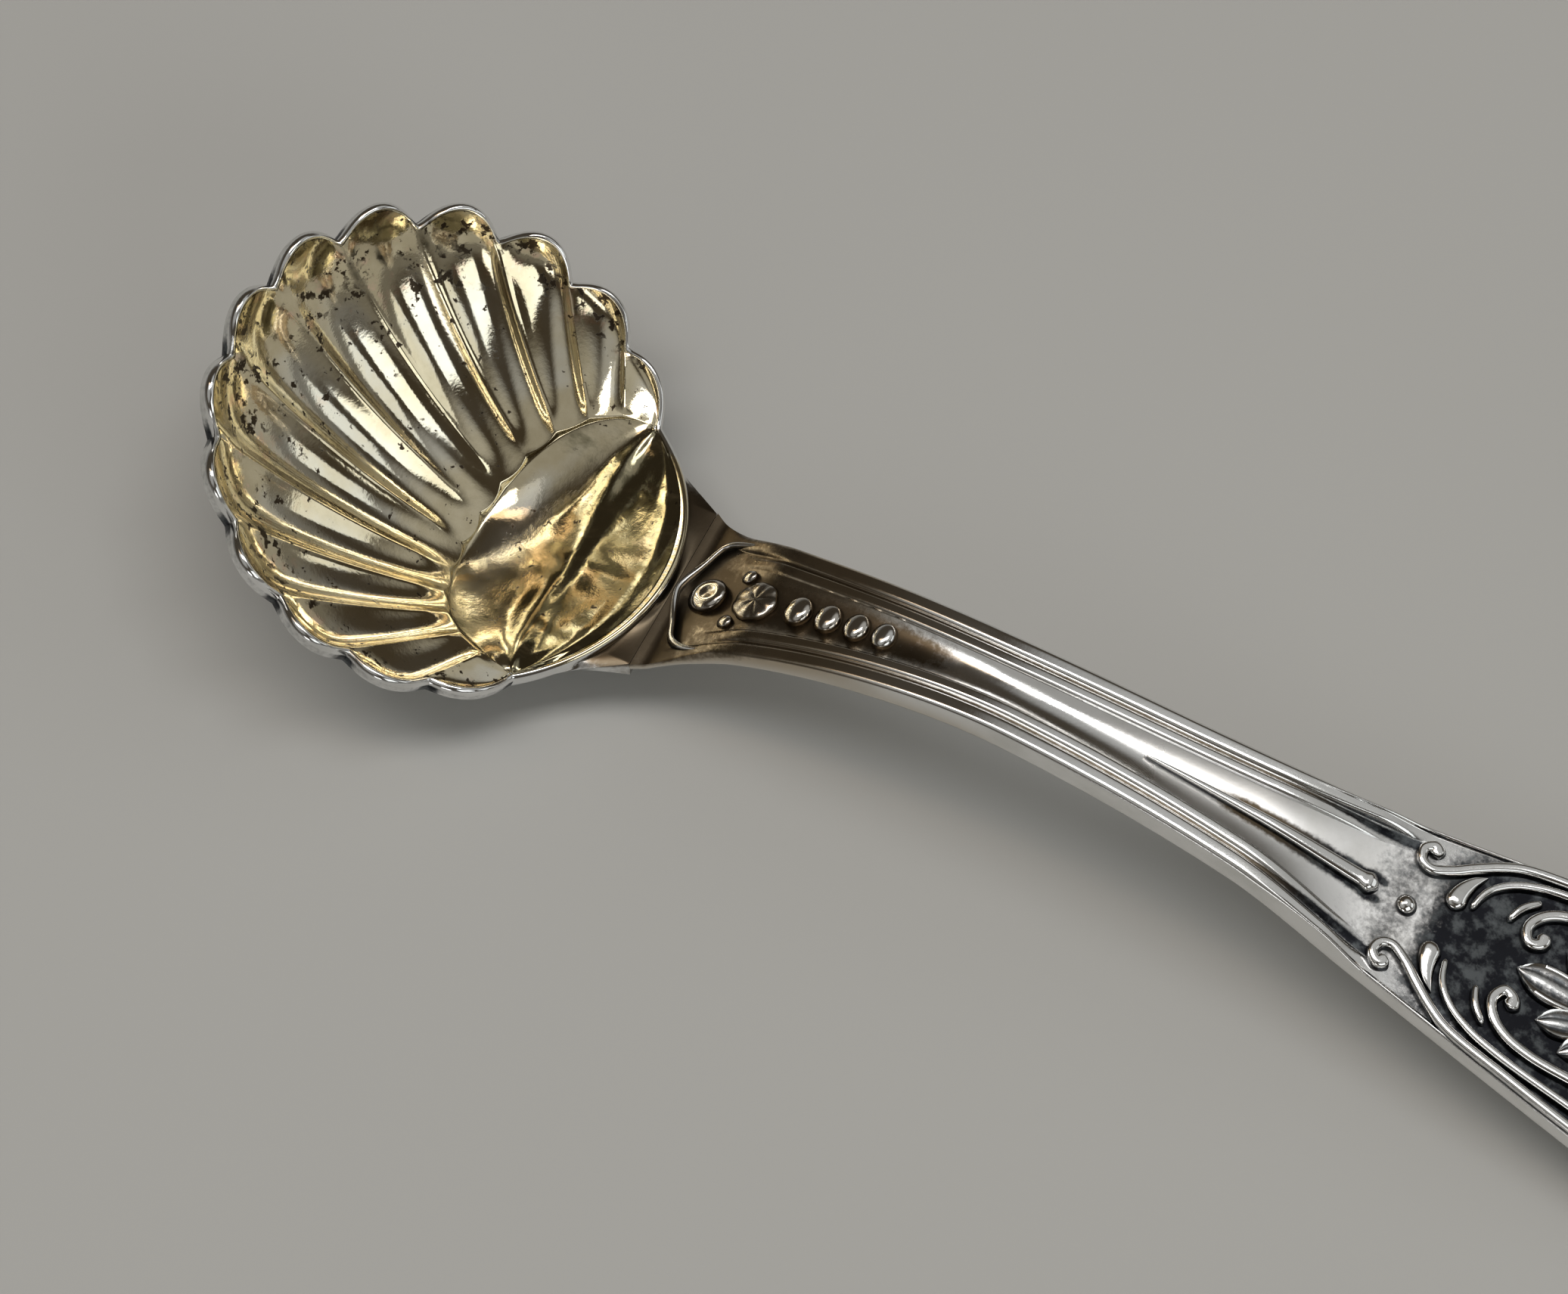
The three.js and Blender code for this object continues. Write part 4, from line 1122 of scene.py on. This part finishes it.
side_pearl_reach = PALMETTE_RADIUS + SIDE_PEARL_GAP + SIDE_PEARL_RADIUS
side_pearl_x = palmette_x - side_pearl_reach * math.cos(SIDE_PEARL_ANGLE)
side_pearl_y = side_pearl_reach * math.sin(SIDE_PEARL_ANGLE)
for word, side in (("left", 1), ("right", -1)):
    boss(f"side_pearl_{word}", side_pearl_x, side * side_pearl_y, SIDE_PEARL_RADIUS, SIDE_PEARL_RADIUS)
    wire(f"outer_scroll_{word}", through_field(FRAME_HALF, side),
         OUTER_SCROLL_HALF_WIDTH, SCROLL_HEIGHT, even, SCROLL_STEPS, knob=SCROLL_KNOB)
    wire(f"inner_scroll_{word}", through_field(INNER_FRAME_HALF, side),
         INNER_SCROLL_HALF_WIDTH, SCROLL_HEIGHT, hooked, SCROLL_STEPS)
    wire(f"curl_{word}", through_field(CURL_HALF, side),
         CURL_HALF_WIDTH, SCROLL_HEIGHT, even, SCROLL_STEPS, knob=SCROLL_KNOB)
    for place, end in (("neck", 1), ("tip", -1)):
        wire(f"spray_{place}_{word}", in_handle(SPRAY, side, end),
             SPRAY_FULLNESS * SPRAY_HALF_WIDTH, SCROLL_HEIGHT, teardrop, SCROLL_STEPS)
        wire(f"hook_{place}_{word}", in_handle(HOOK, side, end),
             HOOK_HALF_WIDTH, SCROLL_HEIGHT, hooked, SCROLL_STEPS)


def fan(name, x, start, leaves, direction):
    """Leaves that spread from a point on the axis, one in the middle and the rest in pairs."""
    for number, (degrees, reach, wide) in enumerate(leaves, 1):
        angle = math.radians(degrees)
        sides = (("", 1),) if degrees == 0 else (("_left", 1), ("_right", -1))
        for word, side in sides:
            stops = (start, (start + reach) / 2, reach)
            path = [(x + direction * r * math.cos(angle), side * r * math.sin(angle)) for r in stops]
            wire(f"{name}_{number}{word}", path, LEAF_FULLNESS * wide, SCROLL_HEIGHT, petal, LEAF_STEPS,
                 leaf)


boss("rosette", ROSETTE_X, 0, ROSETTE_RADIUS, ROSETTE_DOME)
fan("neck_leaf", ROSETTE_X, LEAF_START, ROSETTE_LEAVES, -1)
fan("tip_leaf", ROSETTE_X, LEAF_START, ROSETTE_LEAVES, 1)
boss("tip_pearl", TIP_PEARL_X, 0, TIP_PEARL_RADIUS, TIP_PEARL_RADIUS)
fan("tip_lobe", TIP_PEARL_X, LOBE_START, TIP_LOBES, 1)

# Floor
FLOOR_COLOUR = (0.54, 0.54, 0.52, 1)
FLOOR_ROUGHNESS = 0.6
FLOOR_REACH = 2
floor_corners = [(FLOOR_REACH * i, FLOOR_REACH * j, 0) for i, j in ((-1, -1), (1, -1), (1, 1), (-1, 1))]
floor_mesh = bpy.data.meshes.new("floor")
floor_mesh.from_pydata(floor_corners, [], [(0, 1, 2, 3)])
floor = bpy.data.objects.new("floor", floor_mesh)
bpy.context.scene.collection.objects.link(floor)
floor_material, _, floor_shader = nodes_of("floor", 0)
floor_shader.inputs["Base Color"].default_value = FLOOR_COLOUR
floor_shader.inputs["Roughness"].default_value = FLOOR_ROUGHNESS
floor_mesh.materials.append(floor_material)


# Light
LAMP_DISTANCE = 1
DAYLIGHT = (0.95, 0.99, 1)
LAMPLIGHT = (1, 0.72, 0.45)
SKY = (0.052, 0.043, 0.032, 1)
RIGHT_GLOW = (0.42, 0.42, 0.41, 1)
LEFT_GLOW = (0.34, 0.335, 0.32, 1)
HORIZON = (0.17, 0.165, 0.155, 1)
HORIZON_FADE = (0.25, 0.08)


def softbox(name, towards, size, power, colour=(1, 1, 1)):
    """A soft lamp that faces the middle of the frame."""
    light = bpy.data.lights.new(name, "AREA")
    light.shape = "RECTANGLE"
    light.size, light.size_y = size
    light.energy = power
    light.color = colour
    lamp = bpy.data.objects.new(name, light)
    bpy.context.scene.collection.objects.link(lamp)
    way = Vector(towards).normalized()
    lamp.location = way * LAMP_DISTANCE
    lamp.rotation_mode = "QUATERNION"
    lamp.rotation_quaternion = way.to_track_quat("Z", "Y")


# Lamps: direction, width and length in metres, power in watts and colour
softbox("overhead", (-0.04, -0.03, 1), (0.26, 1.06), 3.7)
softbox("warm_strip", (-0.245, -0.03, 1), (0.14, 1), 0.6, LAMPLIGHT)
softbox("window_left", (0.77, -0.43, 0.47), (0.68, 0.46), 1.4, DAYLIGHT)
softbox("window_right", (0.882, 0.356, 0.309), (0.5, 0.36), 0.48, DAYLIGHT)
softbox("back_window", (-0.52, -0.243, 0.819), (0.4, 0.3), 0.09)
softbox("near_strip", (0.137, -0.975, 0.174), (0.35, 0.2), 0.4)

world = bpy.data.worlds.new("studio")
bpy.context.scene.world = world
world.use_nodes = True
sky = world.node_tree
background = sky.nodes["Background"]
sky_net = Net(sky, "Generated")
split = sky.nodes.new("ShaderNodeSeparateXYZ")
sky.links.new(sky_net.place, split.inputs[0])


def glow(tone, towards, far, near, colour):
    """Lays a soft round glow over the sky."""
    along_glow = sky.nodes.new("ShaderNodeVectorMath")
    along_glow.operation = "DOT_PRODUCT"
    along_glow.inputs[1].default_value = towards
    sky.links.new(sky_net.place, along_glow.inputs[0])
    return sky_net.mix(sky_net.step(along_glow.outputs["Value"], far, near), tone, colour)


# Glows: direction, and the cosines at which they begin and are full
tone = glow(SKY, (0.39, 0.33, 0.86), 0.78, 0.95, RIGHT_GLOW)
tone = glow(tone, (-0.242, -0.52, 0.819), 0.8, 0.96, LEFT_GLOW)
tone = sky_net.mix(sky_net.step(split.outputs["Z"], *HORIZON_FADE), tone, HORIZON)
sky.links.new(tone, background.inputs["Color"])
background.inputs["Strength"].default_value = 1

# Camera
FOCAL_PIXELS = 8000
IMAGE_WIDTH = 2073
SENSOR_WIDTH = 36
CLIP_NEAR = 0.01
CLIP_FAR = 20
CAMERA_FROM_BOWL = np.array([68.013, -100.148, 227.564])
CAMERA_AZIMUTH = math.radians(27.273)
CAMERA_ELEVATION = math.radians(64)
camera = bpy.data.cameras.new("camera")
camera.sensor_width = SENSOR_WIDTH
camera.lens = FOCAL_PIXELS / IMAGE_WIDTH * SENSOR_WIDTH
camera.clip_start = CLIP_NEAR
camera.clip_end = CLIP_FAR
viewer = bpy.data.objects.new("camera", camera)
bpy.context.scene.collection.objects.link(viewer)
back = Vector((
    math.sin(CAMERA_AZIMUTH) * math.cos(CAMERA_ELEVATION),
    -math.cos(CAMERA_AZIMUTH) * math.cos(CAMERA_ELEVATION),
    math.sin(CAMERA_ELEVATION),
))
aside = Vector((math.cos(CAMERA_AZIMUTH), math.sin(CAMERA_AZIMUTH), 0))
facing = Matrix((aside, back.cross(aside), back)).transposed().to_4x4()
viewer.matrix_world = Matrix.Translation(Vector((CAMERA_FROM_BOWL + BOWL_PLACE) * MM)) @ facing
bpy.context.scene.camera = viewer

bpy.context.scene.view_settings.view_transform = "Standard"
